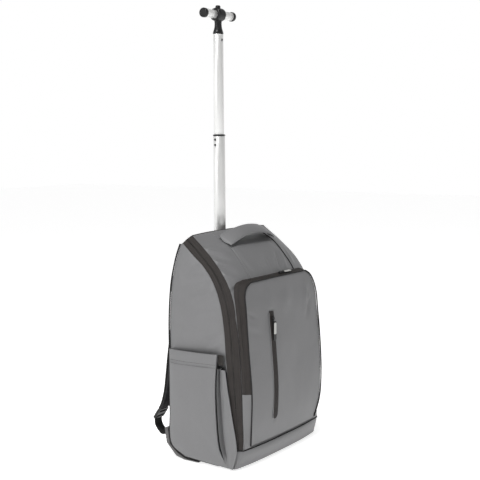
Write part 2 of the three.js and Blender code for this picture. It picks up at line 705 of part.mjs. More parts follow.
function plate(width, height, thickness, holes = []) {
  const corner = Math.min(width, height) * 0.2;
  const shape = new THREE.Shape();
  const x = width / 2;
  const y = height / 2;
  shape.moveTo(-x + corner, -y);
  shape.lineTo(x - corner, -y);
  shape.absarc(x - corner, -y + corner, corner, -Math.PI / 2, 0);
  shape.absarc(x - corner, y - corner, corner, 0, Math.PI / 2);
  shape.absarc(-x + corner, y - corner, corner, Math.PI / 2, Math.PI);
  shape.absarc(-x + corner, -y + corner, corner, Math.PI, Math.PI * 1.5);
  for (const hole of holes) {
    const path = new THREE.Path();
    path.moveTo(hole.x - hole.w, hole.y - hole.h);
    path.lineTo(hole.x + hole.w, hole.y - hole.h);
    path.lineTo(hole.x + hole.w, hole.y + hole.h);
    path.lineTo(hole.x - hole.w, hole.y + hole.h);
    path.closePath();
    shape.holes.push(path);
  }
  const geometry = new THREE.ExtrudeGeometry(shape, { depth: thickness, bevelEnabled: false, curveSegments: 2 });
  return geometry.translate(0, 0, -thickness / 2);
}

const sliderFace = Math.min(zipFace(sliderHeight, tapeThickness), zipFace(sliderHeight - sliderLength * 2, tapeThickness));
const slider = add('front_zip_slider', plate(frontZipWidth * 0.45, sliderLength, sliderThickness), 'blackPlastic');
slider.rotation.x = Math.PI / 2;
slider.position.set(-frontZipOffset, sliderFace - sliderThickness / 2 - fitGap, sliderHeight - sliderLength);
const pullTop = sliderHeight - sliderLength * 1.5 - fitGap;
const tab = add('front_zip_puller', plate(pullerWidth, pullerLength, pullerThickness), 'pullTab');
tab.rotation.x = Math.PI / 2;
const tabFace = Math.min(zipFace(pullTop - pullerLength, 0), zipFace(pullTop, 0)) - tapeThickness - fitGap * 3;
tab.position.set(-frontZipOffset + pullerWidth * 0.12, tabFace - pullerThickness / 2, pullTop - pullerLength / 2);

// Double slider and pull tab of the zip over the top of the front pocket.
const topZipMid = gussetGrid[Math.floor(gussetGrid.length / 2)][1];
const topSlider = add('pocket_slider', plate(sliderLength * 2, frontZipWidth * 0.4, sliderThickness), 'blackPlastic');
topSlider.position.set(topSliderOffset, topZipMid.y, topZipMid.z + sliderThickness / 2 + cloth * 0.7);
const topTab = add('pocket_puller', plate(topPullerLength, frontZipWidth * 0.45, pullerThickness), 'pullTab');
topTab.position.set(
  topSliderOffset + sliderLength + fitGap * 2 + topPullerLength / 2,
  topZipMid.y,
  topZipMid.z + sliderThickness,
);

// Side pockets: the outer wall, the folded gusset in front of it, and the elastic over the fold.
const sidePocket = [
  { frontIn: -0.370, bulge: 0.10, overlap: 0.022 },
  { frontIn: -0.262, bulge: 0.60, overlap: 0.060 },
  { frontIn: -0.227, bulge: 1.00, overlap: 0.040 },
  { frontIn: -0.221, bulge: 1.00, overlap: 0.012 },
  { frontIn: -0.249, bulge: 0.80, overlap: 0.000 },
];
const hemStation = (sidePocket.length - 1) * stepsPerRow;
const pocketValue = (key, k) => smoothNumber(sidePocket.map((row) => row[key]), k / hemStation);
const pocketStand = cloth * 1.3 + fitGap;
const sidePocketGrid = [];
const foldGrid = [];
for (let k = 0; k <= hemStation; k += 1) {
  const bulge = pocketValue('bulge', k);
  const z = bandRear[k].z;
  const front = vec(-halfWidth - bandCrown - sidePocketBulge * 0.5 * bulge, bodyDepth * pocketValue('frontIn', k), z);
  const rear = sideBack[k].clone().add(vec(-pocketStand, -fitGap, 0));
  sidePocketGrid.push([0, 0.12, 0.3, 0.5, 0.7, 0.88, 1].map((t) => {
    const point = front.clone().lerp(rear, t);
    point.x -= sidePocketBulge * bulge * 0.8 * (1 - Math.abs(2 * t - 1) ** 3);
    return point;
  }));
  const sewn = vec(
    bandRear[k].x - pocketStand - cloth,
    bandRear[k].y + cloth - bodyDepth * pocketValue('overlap', k),
    z,
  );
  const valley = vec(sewn.x + foldDip, THREE.MathUtils.lerp(front.y, sewn.y, 0.3), z);
  const swell = valley.clone().lerp(sewn, 0.5).add(vec(-cloth, 0, 0));
  foldGrid.push([front, valley, swell, sewn]);
}
const foldRows = foldGrid.slice(0, hemStation);
const elasticLow = bandRear[hemStation].z - elasticWidth / 2 - fitGap;
const foldEnd = foldGrid[hemStation];
const elasticFrom = foldEnd[0].clone().add(vec(cloth * 0.3, -fitGap * 0.2, 0)).setZ(elasticLow);
const elasticTo = foldEnd[3].clone().add(vec(0, -fitGap, 0)).setZ(elasticLow);
const elasticBand = [0, 0.33, 0.67, 1].map((t) => ({
  centre: elasticFrom.clone().lerp(elasticTo, t),
  wide: vec(0, 0, 1),
  width: elasticWidth,
  thickness: tapeThickness,
}));
for (const side of [left, right]) {
  const label = side === left ? 'left' : 'right';
  const turned = (grid) => (side === left ? grid : mirrorGrid(grid));
  add(`side_pocket_${label}`, sewnSheet(turned(sidePocketGrid), cloth, bodyCore), 'coatedCloth');
  add(`side_fold_${label}`, sewnSheet(turned(foldRows), cloth * 0.8, bodyCore), 'coatedCloth');
  const strip = band(elasticBand);
  const elastic = side === left ? strip : mirrorBody(strip);
  add(`side_elastic_${label}`, elastic, 'webbing');
}

function mirrorBody(geometry) {
  const other = geometry.clone().applyMatrix4(new THREE.Matrix4().makeScale(-1, 1, 1));
  other.setIndex(Array.from(other.index.array).reverse());
  return other;
}

// Carry handle: a padded band that arches over the front slope of the top.
const handleFoot = topStation - 1.5;
function topPoint(place, x) {
  const i = Math.floor(place);
  const low = frontRow(i, [x / Math.abs(bandFront[i].x)])[0];
  const high = frontRow(i + 1, [x / Math.abs(bandFront[i + 1].x)])[0];
  return low.lerp(high, place - i);
}
const handleStations = Array.from({ length: 13 }, (_, k) => {
  const t = k / 12;
  const x = (t - 0.5) * handleLength;
  const low = topPoint(handleFoot - 0.35, x);
  const high = topPoint(handleFoot + 0.35, x);
  const slope = high.clone().sub(low).setX(0).normalize();
  const out = vec(0, -slope.z, slope.y);
  const middle = Math.sin(t * Math.PI);
  const thickness = handleThickness * (0.55 + 0.75 * middle);
  const lift = handleArch * middle ** 0.8 + thickness / 2 + fitGap * 0.5;
  return {
    centre: low.lerp(high, 0.5).addScaledVector(out, lift),
    wide: slope,
    width: handleWidth * (1 - 0.22 * middle),
    thickness,
  };
});
add('carry_handle', band(handleStations), 'coatedCloth');

// Pads on the back and the shoulder straps over them.
const padLine = (padWidth + padMiddleGap) / 2;
const padRun = [
  { up: 0, size: 0.72 }, { up: 0.05, size: 0.97 }, { up: 0.35, size: 1 }, { up: 0.65, size: 1 },
  { up: 0.95, size: 0.97 }, { up: 1, size: 0.72 },
];
const backFace = backPlane + fitGap;
const strapRun = [
  { out: 0.28, back: 0.55, up: 0.885, size: 0.80 },
  { out: 0.30, back: 1.38, up: 0.850, size: 0.95 },
  { out: 0.36, back: 1.62, up: 0.785, size: 1.00 },
  { out: 0.49, back: 1.62, up: 0.700, size: 1.00 },
  { out: 0.61, back: 1.62, up: 0.580, size: 1.00 },
  { out: 0.70, back: 1.62, up: 0.460, size: 0.96 },
  { out: 0.75, back: 1.75, up: 0.370, size: 0.88 },
  { out: 0.79, back: 2.05, up: 0.290, size: 0.78 },
  { out: 0.82, back: 2.75, up: 0.232, size: 0.68 },
  { out: 0.825, back: 3.50, up: 0.205, size: 0.62 },
];
for (const side of [left, right]) {
  const label = side === left ? 'left' : 'right';
  const pad = padRun.map((row) => ({
    centre: vec(side * padLine, backFace + padThickness / 2, THREE.MathUtils.lerp(padLow, padHigh, row.up)),
    wide: across,
    width: padWidth * (0.8 + 0.2 * row.size),
    thickness: padThickness * row.size,
  }));
  add(`back_pad_${label}`, band(pad), 'mesh');
  const spots = smooth(strapRun.map((row) => vec(
    side * halfWidth * row.out,
    backFace + padThickness * row.back,
    bagHeight * row.up,
  )), 2);
  const sizeAt = (t) => smoothNumber(strapRun.map((row) => row.size), t);
  const strap = spots.map((centre, k) => ({
    centre,
    wide: across,
    width: strapWidth * sizeAt(k / (spots.length - 1)),
    thickness: strapThickness * sizeAt(k / (spots.length - 1)) ** 2,
  }));
  add(`shoulder_strap_${label}`, band(strap), 'mesh');

  // The ladder lock hangs from the strap's end, and the webbing runs from it to the guard.
  const end = spots[spots.length - 1];
  const slant = end.clone().sub(spots[spots.length - 2]).setX(0).normalize();
  const lockPlace = end.clone().addScaledVector(slant, lockHeight / 2 + fitGap * 3);
  const slots = [-0.26, 0.2].map((share) => ({ x: 0, y: share * lockHeight, w: lockWidth * 0.38, h: lockHeight * 0.09 }));
  const lock = add(`ladder_lock_${label}`, plate(lockWidth, lockHeight, lockThickness, slots), 'blackPlastic');
  lock.position.copy(lockPlace);
  lock.rotation.x = Math.atan2(slant.z, slant.y);
  const from = lockPlace.clone().addScaledVector(slant, lockHeight / 2 + fitGap + 1);
  const webRun = [
    from,
    from.clone().add(vec(0, -webbingStart.back, -webbingStart.down)),
    from.clone().add(vec(0, -webbingSag.back, -webbingSag.down)),
    vec(from.x, wheelDepth + archRadius + guardThickness + webbingStandOff, guardEnd * 0.75),
  ];
  const web = smooth(webRun, 3).map((centre) => ({
    centre,
    wide: across,
    width: webbingWidth,
    thickness: webbingThickness,
  }));
  add(`strap_webbing_${label}`, band(web), 'webbing');
}

// Trolley: a channel fused to a cross bar between the guards, and two pole stages that slide in it.
const ledgeHeight = sideBack[topStation].z;
const channelTop = ledgeHeight - cloth - 2;
const barReach = Math.abs(slotInner + cheekWall) - fitGap;
const bar = new THREE.BoxGeometry(barReach * 2, crossBarDepth, crossBarHeight);
bar.translate(0, poleDepth, crossBarLift + crossBarHeight / 2);
const channelLow = crossBarLift + crossBarHeight / 2;
add('pole_channel', join(oval(channelOuter, channelLow, channelTop, channelInner), bar), 'aluminium');
const collarInner = grown(lowerPoleHalf, slideGap);
const flangeLow = ledgeHeight + fitGap;
const collar = join(
  oval(channelOuter, channelTop + fitGap, flangeLow + 1, collarInner),
  oval(grown(channelOuter, collarLip), flangeLow, flangeLow + collarHeight / 3, collarInner),
);
add('pole_collar', collar, 'blackPlastic');

const lowerTop = bagHeight + lowerPoleShown;
const upperTop = lowerTop + upperPoleShown;
const lowerInner = grown(lowerPoleHalf, -poleWall);
const upperPoleHalf = grown(lowerInner, -slideGap);
const lowerPole = new THREE.Group();
const upperPole = new THREE.Group();
lowerPole.add(upperPole);
bag.add(lowerPole);
add('lower_pole', oval(lowerPoleHalf, bagHeight - lowerPoleOverlap, lowerTop, lowerInner), 'aluminium', lowerPole);
const ringLow = lowerTop + fitGap;
const ring = oval(grown(lowerPoleHalf, ringLip), ringLow, ringLow + ringHeight, grown(upperPoleHalf, slideGap));
add('pole_ring', ring, 'blackPlastic', lowerPole);
const upperInner = grown(upperPoleHalf, -poleWall);
add('upper_pole', oval(upperPoleHalf, lowerTop - upperPoleOverlap, upperTop, upperInner), 'aluminium', upperPole);

function rivet(name, group, place, turnX, turnZ) {
  const head = add(name, new THREE.CylinderGeometry(rivetRadius, rivetRadius, rivetHeight, 12), 'blackPlastic', group);
  head.position.copy(place);
  head.rotation.set(turnX, 0, turnZ);
}
const rivetOut = rivetHeight / 2 + fitGap;
rivet('rivet_high', lowerPole, vec(-lowerPoleHalf.x - rivetOut, poleDepth, lowerTop - rivetDrops.high), 0, Math.PI / 2);
rivet('rivet_low', lowerPole, vec(-lowerPoleHalf.x - rivetOut, poleDepth, lowerTop - rivetDrops.low), 0, Math.PI / 2);
rivet('rivet_front', upperPole, vec(0, poleDepth - upperPoleHalf.y - rivetOut, upperTop - rivetDrops.front), 0, 0);

// A closed body through oval rings, one above the other.
function ovalLoft(rings, sides = 20) {
  const points = [];
  const faces = [];
  for (const { half, z } of rings) {
    for (let k = 0; k < sides; k += 1) {
      const angle = (k / sides) * Math.PI * 2;
      points.push(vec(half.x * Math.cos(angle), poleDepth + half.y * Math.sin(angle), z));
    }
  }
  for (let i = 0; i < rings.length - 1; i += 1) {
    for (let k = 0; k < sides; k += 1) {
      const a = i * sides + k;
      const b = i * sides + ((k + 1) % sides);
      faces.push([a, b, b + sides], [a, b + sides, a + sides]);
    }
  }
  const top = (rings.length - 1) * sides;
  for (let k = 1; k < sides - 1; k += 1) {
    faces.push([0, k + 1, k], [top, top + k, top + k + 1]);
  }
  return closedBody(points, faces);
}

// Grip: neck and hub in one, a tube and a cap on each side, and the button on top.
const gripHeight = upperTop + hubRise;
const neckLow = upperTop + fitGap;
const neck = ovalLoft([
  { half: grown(upperPoleHalf, 0.6), z: neckLow },
  { half: grown(upperPoleHalf, 0.6), z: neckLow + neckHeight * 0.2 },
  { half: neckTop, z: neckLow + neckHeight * 0.85 },
  { half: grown(neckTop, 1.5), z: neckLow + neckHeight * 1.1 },
]);
const barrel = new THREE.CylinderGeometry(hubRadius, hubRadius, hubLength, 20);
barrel.rotateZ(Math.PI / 2).translate(0, poleDepth, gripHeight);
const hubTop = gripHeight + hubRadius;
const buttonLow = hubTop - buttonRise;
const recess = ovalLoft([
  { half: grown(buttonHalf, slideGap), z: buttonLow - buttonTravel - fitGap },
  { half: grown(buttonHalf, slideGap), z: hubTop + buttonRise },
]);
add('grip_hub', cut(join(neck, barrel), recess), 'blackPlastic', upperPole);
add('grip_button', ovalLoft([
  { half: buttonHalf, z: buttonLow },
  { half: buttonHalf, z: hubTop + buttonRise * 0.6 },
  { half: grown(buttonHalf, -1.2), z: hubTop + buttonRise },
]), 'blackPlastic', upperPole);
for (const side of [left, right]) {
  const label = side === left ? 'left' : 'right';
  const start = hubLength / 2 + fitGap;
  const stop = gripLength / 2 - capLength;
  const wall = [
    [gripRadius - gripWall, start], [gripRadius, start], [gripRadius, stop], [gripRadius - gripWall, stop],
    [gripRadius - gripWall, start],
  ].map(([r, s]) => new THREE.Vector2(r, s));
  const sleeve = add(`grip_tube_${label}`, new THREE.LatheGeometry(wall, 20), 'aluminium', upperPole);
  const capRun = [
    [0, stop + fitGap], [capRadius, stop + fitGap], [capRadius, stop + capLength * capShoulder],
    [capRadius * 0.8, stop + capLength], [0, stop + capLength],
  ].map(([r, s]) => new THREE.Vector2(r, s));
  const cap = add(`grip_cap_${label}`, new THREE.LatheGeometry(capRun, 20), 'blackPlastic', upperPole);
  for (const piece of [sleeve, cap]) {
    piece.rotation.z = (-side * Math.PI) / 2;
    piece.position.set(0, poleDepth, gripHeight);
  }
}

// The origin is on the floor, under the middle of the whole.
const reach = new THREE.Box3().setFromObject(bag, true);
bag.position.set(-(reach.min.x + reach.max.x) / 2, -(reach.min.y + reach.max.y) / 2, -reach.min.z);

export default bag;
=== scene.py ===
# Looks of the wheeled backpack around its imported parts. Tables are in millimetres, as in the part's source.
import math

import bmesh
import bpy
import numpy as np
from mathutils import Matrix, Vector


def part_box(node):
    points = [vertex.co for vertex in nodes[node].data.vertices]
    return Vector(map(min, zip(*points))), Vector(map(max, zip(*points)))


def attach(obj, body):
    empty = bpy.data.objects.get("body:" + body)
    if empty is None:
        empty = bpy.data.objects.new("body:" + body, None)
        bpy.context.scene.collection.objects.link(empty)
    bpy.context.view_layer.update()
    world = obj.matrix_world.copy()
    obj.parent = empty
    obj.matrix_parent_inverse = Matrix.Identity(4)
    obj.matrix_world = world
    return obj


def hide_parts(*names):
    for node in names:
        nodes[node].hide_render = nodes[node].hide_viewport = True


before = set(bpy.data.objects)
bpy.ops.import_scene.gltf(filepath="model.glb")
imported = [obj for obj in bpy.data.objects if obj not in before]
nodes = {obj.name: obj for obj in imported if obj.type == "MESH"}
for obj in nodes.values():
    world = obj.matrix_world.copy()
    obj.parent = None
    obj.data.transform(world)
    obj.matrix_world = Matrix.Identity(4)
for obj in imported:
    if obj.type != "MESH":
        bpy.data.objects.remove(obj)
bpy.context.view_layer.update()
scene = bpy.context.scene

mm = 0.001
poleDepth = 67.0  # where the source has the pole before it moves the bag's box to the middle
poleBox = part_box("lower_pole")
depthShift = (poleBox[0].y + poleBox[1].y) / 2 - poleDepth * mm
mirrorX = np.array([-1.0, 1.0, 1.0])


# Camera and light

camera = {
    "place": (-1.8601, -1.264, 0.715),
    "azimuth": -55.562,
    "pitch": 6.0441,
    "roll": -0.4031,
    "lens": 75,
    "sensor": 36,
}


def makeCamera(values):
    turn, dip, roll = (math.radians(values[k]) for k in ("azimuth", "pitch", "roll"))
    flat = Vector((-math.sin(turn), math.cos(turn), 0))
    side = Vector((math.cos(turn), math.sin(turn), 0))
    ahead = flat * math.cos(dip) - Vector((0, 0, 1)) * math.sin(dip)
    above = flat * math.sin(dip) + Vector((0, 0, 1)) * math.cos(dip)
    across = side * math.cos(roll) + above * math.sin(roll)
    upward = above * math.cos(roll) - side * math.sin(roll)
    view = bpy.data.cameras.new("camera")
    view.lens = values["lens"]
    view.sensor_width = values["sensor"]
    view.clip_end = 50
    seen = bpy.data.objects.new("camera", view)
    turned = Matrix((across, upward, -ahead)).transposed().to_4x4()
    place = Vector(values["place"]) + Vector((0, depthShift, 0))
    seen.matrix_world = Matrix.Translation(place) @ turned
    scene.collection.objects.link(seen)
    scene.camera = seen


lights = {
    "left": {"place": (-2.4, 0.3, 1.5), "aim": (0, 0, 0.35), "size": 0.9, "power": 14},
    "front": {"place": (0.6, -3.0, 1.6), "aim": (0, 0, 0.3), "size": 1.6, "power": 3},
    "top": {"place": (-0.9, -0.5, 2.6), "aim": (0, 0, 0.4), "size": 0.7, "power": 38},
    "back": {"place": (1.9, 2.0, 1.8), "aim": (0, 0, 0.4), "size": 1.4, "power": 5},
}


def makeLights(table):
    for name, values in table.items():
        lamp = bpy.data.lights.new(f"light_{name}", "AREA")
        lamp.shape = "DISK"
        lamp.size = values["size"]
        lamp.energy = values["power"]
        held = bpy.data.objects.new(f"light_{name}", lamp)
        held.location = values["place"]
        ahead = Vector(values["aim"]) - Vector(values["place"])
        held.rotation_euler = ahead.to_track_quat("-Z", "Y").to_euler()
        scene.collection.objects.link(held)


makeCamera(camera)
makeLights(lights)
scene.view_settings.view_transform = "Standard"
print("camera and light ready")


# Shader helpers

class Wire:
    def __init__(self, tree, socket):
        self.tree = tree
        self.socket = socket

    def maths(self, operation, *others, turned=False):
        node = self.tree.nodes.new("ShaderNodeMath")
        node.operation = operation
        terms = [self, *others]
        for k, term in enumerate(reversed(terms) if turned else terms):
            plug(self.tree, node.inputs[k], term)
        return Wire(self.tree, node.outputs[0])

    def __add__(self, other):
        return self.maths("ADD", other)

    def __sub__(self, other):
        return self.maths("SUBTRACT", other)

    def __rsub__(self, other):
        return self.maths("SUBTRACT", other, turned=True)

    def __mul__(self, other):
        return self.maths("MULTIPLY", other)

    __radd__ = __add__
    __rmul__ = __mul__

    def wave(self):
        return self.maths("SINE")

    def clamped(self):
        return self.maths("MINIMUM", 1.0).maths("MAXIMUM", 0.0)


def plug(tree, socket, value):
    if isinstance(value, Wire):
        tree.links.new(value.socket, socket)
    else:
        socket.default_value = value


class Nodes:
    def __init__(self, owner, shader):
        owner.use_nodes = True
        self.tree = owner.node_tree
        self.shader = self.tree.nodes[shader]

    def put(self, socket, value):
        plug(self.tree, self.shader.inputs[socket], value)

    def node(self, kind, settings=None, sockets=None, output=0):
        made = self.tree.nodes.new(f"ShaderNode{kind}")
        for key, value in (settings or {}).items():
            if key == "stops":
                ramp = made.color_ramp.elements
                while len(ramp) < len(value):
                    ramp.new(0.5)
                for stop, (place, shade) in zip(ramp, value):
                    stop.position = place
                    stop.color = (shade, shade, shade, 1) if isinstance(shade, (int, float)) else (*shade, 1)
            else:
                setattr(made, key, value)
        for key, value in (sockets or {}).items():
            plug(self.tree, made.inputs[key], value)
        return Wire(self.tree, made.outputs[output])

    def part(self, wire, axis):
        return self.node("SeparateXYZ", None, {0: wire}, output="XYZ".index(axis))


class Finish(Nodes):
    def __init__(self, name, base, rough, **fixed):
        self.material = bpy.data.materials.new(name)
        super().__init__(self.material, "Principled BSDF")
        self.put("Base Color", (*base, 1))
        self.put("Roughness", rough)
        for key, value in fixed.items():
            self.put(key.replace("_", " ").title().replace("Ior", "IOR"), value)

    def place(self):
        return self.node("TexCoord", output="Object")

    def noise(self, scale, detail=3, rough=0.5, place=None):
        return self.node("TexNoise", None, {
            "Vector": place or self.place(), "Scale": scale, "Detail": detail, "Roughness": rough,
        })

    def drawn(self):
        return self.node("Attribute", {"attribute_name": "place"}, output=1)

    def blend(self, share, low, high):
        low = low if isinstance(low, Wire) else (*low, 1)
        high = high if isinstance(high, Wire) else (*high, 1)
        return self.node("Mix", {"data_type": "RGBA"}, {0: share, 6: low, 7: high}, output=2)

    def bump(self, height, strength, distance, under=None):
        sockets = {"Height": height, "Strength": strength, "Distance": distance}
        if under:
            sockets["Normal"] = under
        return self.node("Bump", None, sockets)


# Surroundings, white and dimmed from above and from the bag's front

dims = (("Z", 0.2, 0.6, 0.25), ("Y", -0.05, -0.6, 0.4))  # axis, from, to, what is left


def makeWorld(table):
    world = bpy.data.worlds.new("studio")
    sky = Nodes(world, "Background")
    way = sky.node("TexCoord", output="Generated")
    upright, across = (
        sky.node("MapRange", None, {
            "Value": sky.part(way, axis), "From Min": start, "From Max": end, "To Min": 1.0, "To Max": left,
        })
        for axis, start, end, left in table
    )
    sky.put("Color", (1, 1, 1, 1))
    sky.put("Strength", upright * across)
    scene.world = world


makeWorld(dims)
print("surroundings ready")


# Finishes

cloth = {
    "shade": (0.158, 0.158, 0.161),
    "pale": (0.190, 0.190, 0.194),
    "rough": 0.46,
    "weave": 2100,  # waves for each metre
}


def coatedCloth(name, values):
    low = tuple(part * 0.95 for part in values["shade"])
    made = Finish(name, values["shade"], values["rough"], specular_ior_level=0.45)
    place = made.place()
    x, y, z = (made.part(place, axis) for axis in "XYZ")
    broad = made.noise(9, 4, 0.55)
    fine = made.noise(160, 3, 0.6)
    made.put("Base Color", made.blend((broad * 0.7 + fine * 0.3 - 0.2).clamped(), low, values["pale"]))
    made.put("Roughness", values["rough"] - 0.06 + broad * 0.1 + fine * 0.06)
    thread = ((x + y) * values["weave"] * 2).wave() * ((z - y * 0.5) * values["weave"] * 2).wave()
    creases = made.noise(38, 2, 0.4)
    soft = made.bump(creases, 0.10, 0.004)
    made.put("Normal", made.bump(thread * 0.5 + fine, 0.12, 0.0002, soft))
    return made.material


tape = {"shade": (0.022, 0.019, 0.018), "pale": (0.050, 0.044, 0.041), "rough": 0.72, "rib": 2600}


def ribbedTape(name, values):
    made = Finish(name, values["shade"], values["rough"], specular_ior_level=0.25)
    across, along, _ = (made.part(made.drawn(), axis) for axis in "XYZ")
    ribs = (across * values["rib"]).wave()
    knots = (along * values["rib"] * 1.3 + across * 900).wave()
    grain = made.noise(70, 4, 0.6)
    shade = (ribs * 0.22 + knots * 0.08 + grain * 0.75 - 0.05).clamped()
    made.put("Base Color", made.blend(shade, values["shade"], values["pale"]))
    made.put("Roughness", 0.62 + grain * 0.2)
    made.put("Normal", made.bump(ribs * 0.6 + knots * 0.4, 0.35, 0.0004))
    return made.material


def wovenBand(name, shade, pale, rib=1900):
    made = Finish(name, shade, 0.78, specular_ior_level=0.25)
    across, along, _ = (made.part(made.drawn(), axis) for axis in "XYZ")
    weft = (along * rib).wave()
    warp = (across * rib * 1.7 + weft * 0.8).wave()
    grain = made.noise(120, 3, 0.6)
    made.put("Base Color", made.blend((weft * 0.2 + warp * 0.2 + grain * 0.7).clamped(), shade, pale))
    made.put("Normal", made.bump(weft * 0.6 + warp * 0.5, 0.5, 0.0004))
    return made.material


def spacerMesh(name, shade, pale, cell=330):
    made = Finish(name, shade, 0.9, specular_ior_level=0.2)
    sockets = {"Vector": made.place(), "Scale": cell, "Randomness": 0.15}
    holes = made.node("TexVoronoi", {"feature": "F1"}, sockets)
    depth = made.node("ValToRGB", {"stops": [(0.22, 0.0), (0.42, 1.0)]}, {0: holes})
    grain = made.noise(40, 3, 0.6)
    # the holes are painted darker than the mesh between them: painted shade in the recesses, from the same
    # ramp that gives the bump
    made.put("Base Color", made.blend((depth * 0.65 + grain * 0.35).clamped(), shade, pale))
    made.put("Normal", made.bump(depth, 0.6, 0.0008))
    return made.material


def mouldedPlastic(name, shade, pale, rough, grainScale=420, grain=0.12):
    made = Finish(name, shade, rough, specular_ior_level=0.3)
    pits = made.noise(grainScale, 3, 0.6)
    scuffs = made.noise(26, 5, 0.65)
    made.put("Base Color", made.blend((scuffs - 0.1).clamped(), shade, pale))
    made.put("Roughness", rough - 0.05 + scuffs * 0.14)
    made.put("Normal", made.bump(pits, grain, 0.0005))
    return made.material


# metal with lengthwise streaks: drawn lines in its roughness and bump, and painted light and shade bands in
# its colour
def drawnMetalWithPaintedShading(name, shade, pale, rough):
    made = Finish(name, shade, rough, metallic=0.55)
    place = made.place()
    stretched = made.node("Mapping", None, {"Vector": place, "Scale": (150, 150, 1.2)})
    drawnStreaksAndShading = made.noise(1.0, 3, 0.6, stretched)
    cloudy = made.noise(14, 3, 0.5)
    # the streaks lighten and darken the colour in long bands: painted light and shade on the tube's sides,
    # over a random cloudy tone
    made.put("Base Color", made.blend((drawnStreaksAndShading * 0.6 + cloudy * 0.4).clamped(), shade, pale))
    made.put("Roughness", rough - 0.05 + drawnStreaksAndShading * 0.12)
    made.put("Normal", made.bump(drawnStreaksAndShading, 0.06, 0.0003))
    return made.material


def threadFinish(name, shade, pale):
    made = Finish(name, shade, 0.65, specular_ior_level=0.25)
    x, y, z = (made.part(made.place(), axis) for axis in "XYZ")
    twist = ((x + y + z * 1.6) * 9000).wave()
    made.put("Base Color", made.blend((twist * 0.4 + 0.5).clamped(), shade, pale))
    made.put("Normal", made.bump(twist, 0.3, 0.0002))
    return made.material


finishes = {
    "cloth": coatedCloth("coated_cloth", cloth),
    "tape": ribbedTape("zip_tape", tape),
    "piping": threadFinish("piping", (0.010, 0.010, 0.010), (0.022, 0.021, 0.021)),
    "webbing": wovenBand("webbing", (0.013, 0.013, 0.013), (0.040, 0.039, 0.038)),
    "elastic": wovenBand("elastic", (0.016, 0.014, 0.013), (0.050, 0.046, 0.042), 2600),
    "mesh": spacerMesh("back_mesh", (0.018, 0.018, 0.019), (0.056, 0.055, 0.057)),
    "moulded": mouldedPlastic("moulded_plastic", (0.085, 0.083, 0.083), (0.135, 0.133, 0.133), 0.5),
    "black": mouldedPlastic("black_plastic", (0.006, 0.006, 0.006), (0.016, 0.016, 0.017), 0.28, 260, 0.05),
    "coil": mouldedPlastic("zip_coil", (0.014, 0.013, 0.012), (0.035, 0.032, 0.030), 0.42, 600, 0.08),
    "metal": drawnMetalWithPaintedShading("pole_metal", (0.66, 0.66, 0.65), (0.84, 0.84, 0.83), 0.36),
    "steel": drawnMetalWithPaintedShading("steel", (0.42, 0.42, 0.42), (0.60, 0.60, 0.60), 0.34),
    "pull": mouldedPlastic("pull_tab", (0.44, 0.44, 0.42), (0.58, 0.58, 0.56), 0.42, 300, 0.06),
    "rubber": mouldedPlastic("wheel_rubber", (0.016, 0.016, 0.016), (0.040, 0.039, 0.038), 0.7, 500, 0.2),
    "thread": threadFinish("thread", (0.110, 0.110, 0.113), (0.190, 0.190, 0.194)),
    "darkThread": threadFinish("dark_thread", (0.010, 0.010, 0.010), (0.040, 0.038, 0.036)),
}
print("finishes ready")


# Mesh helpers

def curve(points, at):
    # the same smooth run through a table's points as in the part's source
    p = np.asarray(points, float)
    p = np.vstack([2 * p[0] - p[1], p, 2 * p[-1] - p[-2]])
    at = np.asarray(at, float)
    i = np.clip(np.floor(at).astype(int), 0, len(p) - 4)
    t = (at - i)[..., None]
    a, b, c, d = p[i], p[i + 1], p[i + 2], p[i + 3]
    g0, g1, g2 = (np.maximum(np.linalg.norm(w - v, axis=-1, keepdims=True) ** 0.5, 1e-4)
                  for v, w in ((a, b), (b, c), (c, d)))
    m1 = ((b - a) / g0 - (c - a) / (g0 + g1) + (c - b) / g1) * g1
    m2 = ((c - b) / g1 - (d - b) / (g1 + g2) + (d - c) / g2) * g1
    return b + m1 * t + (3 * c - 3 * b - 2 * m1 - m2) * t**2 + (2 * b - 2 * c + m1 + m2) * t**3


def smoothNumber(values, at):
    spots = np.stack([np.arange(len(values)), values], axis=-1)
    return curve(spots, at)[..., 1]


def ease(value, low, high):
    t = np.clip((value - low) / (high - low), 0, 1)
    return t * t * (3 - 2 * t)


def unit(vectors):
    return vectors / np.maximum(np.linalg.norm(vectors, axis=-1, keepdims=True), 1e-12)


def gridNormals(grid):
    return unit(np.cross(np.gradient(grid, axis=0), np.gradient(grid, axis=1)))


def awayFrom(normals, grid, core):
    # the normals turned away from a point inside
    side = np.sum(normals * (grid - core), axis=-1, keepdims=True)
    return normals * np.where(side < 0, -1.0, 1.0)


def addObject(name, points, faces, finish, body, replaced=(), place=None, smooth=True):
    mesh = bpy.data.meshes.new(name)
    flat = np.asarray(points, float).reshape(-1, 3) * mm
    flat[:, 1] += depthShift
    mesh.from_pydata(flat.tolist(), [], [list(map(int, f)) for f in faces])
    if place is not None:
        drawn = mesh.attributes.new("place", "FLOAT_VECTOR", "POINT")
        drawn.data.foreach_set("vector", np.asarray(place, np.float32).ravel())
    mesh.update()
    work = bmesh.new()
    work.from_mesh(mesh)
    bmesh.ops.recalc_face_normals(work, faces=work.faces)
    work.to_mesh(mesh)
    work.free()
    if smooth:
        mesh.polygons.foreach_set("use_smooth", [True] * len(mesh.polygons))
    made = bpy.data.objects.new(name, mesh)
    scene.collection.objects.link(made)
    mesh.materials.append(finishes[finish])
    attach(made, body)
    if replaced:
        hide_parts(*replaced)
    return made


def gridFaces(rows, columns, start=0, closed=False, turned=False):
    faces = []
    for i in range(rows - 1):
        for j in range(columns if closed else columns - 1):
            a = start + i * columns + j
            b = start + i * columns + (j + 1) % columns
            quad = (a, b, b + columns, a + columns)
            faces.append(quad[::-1] if turned else quad)
    return faces


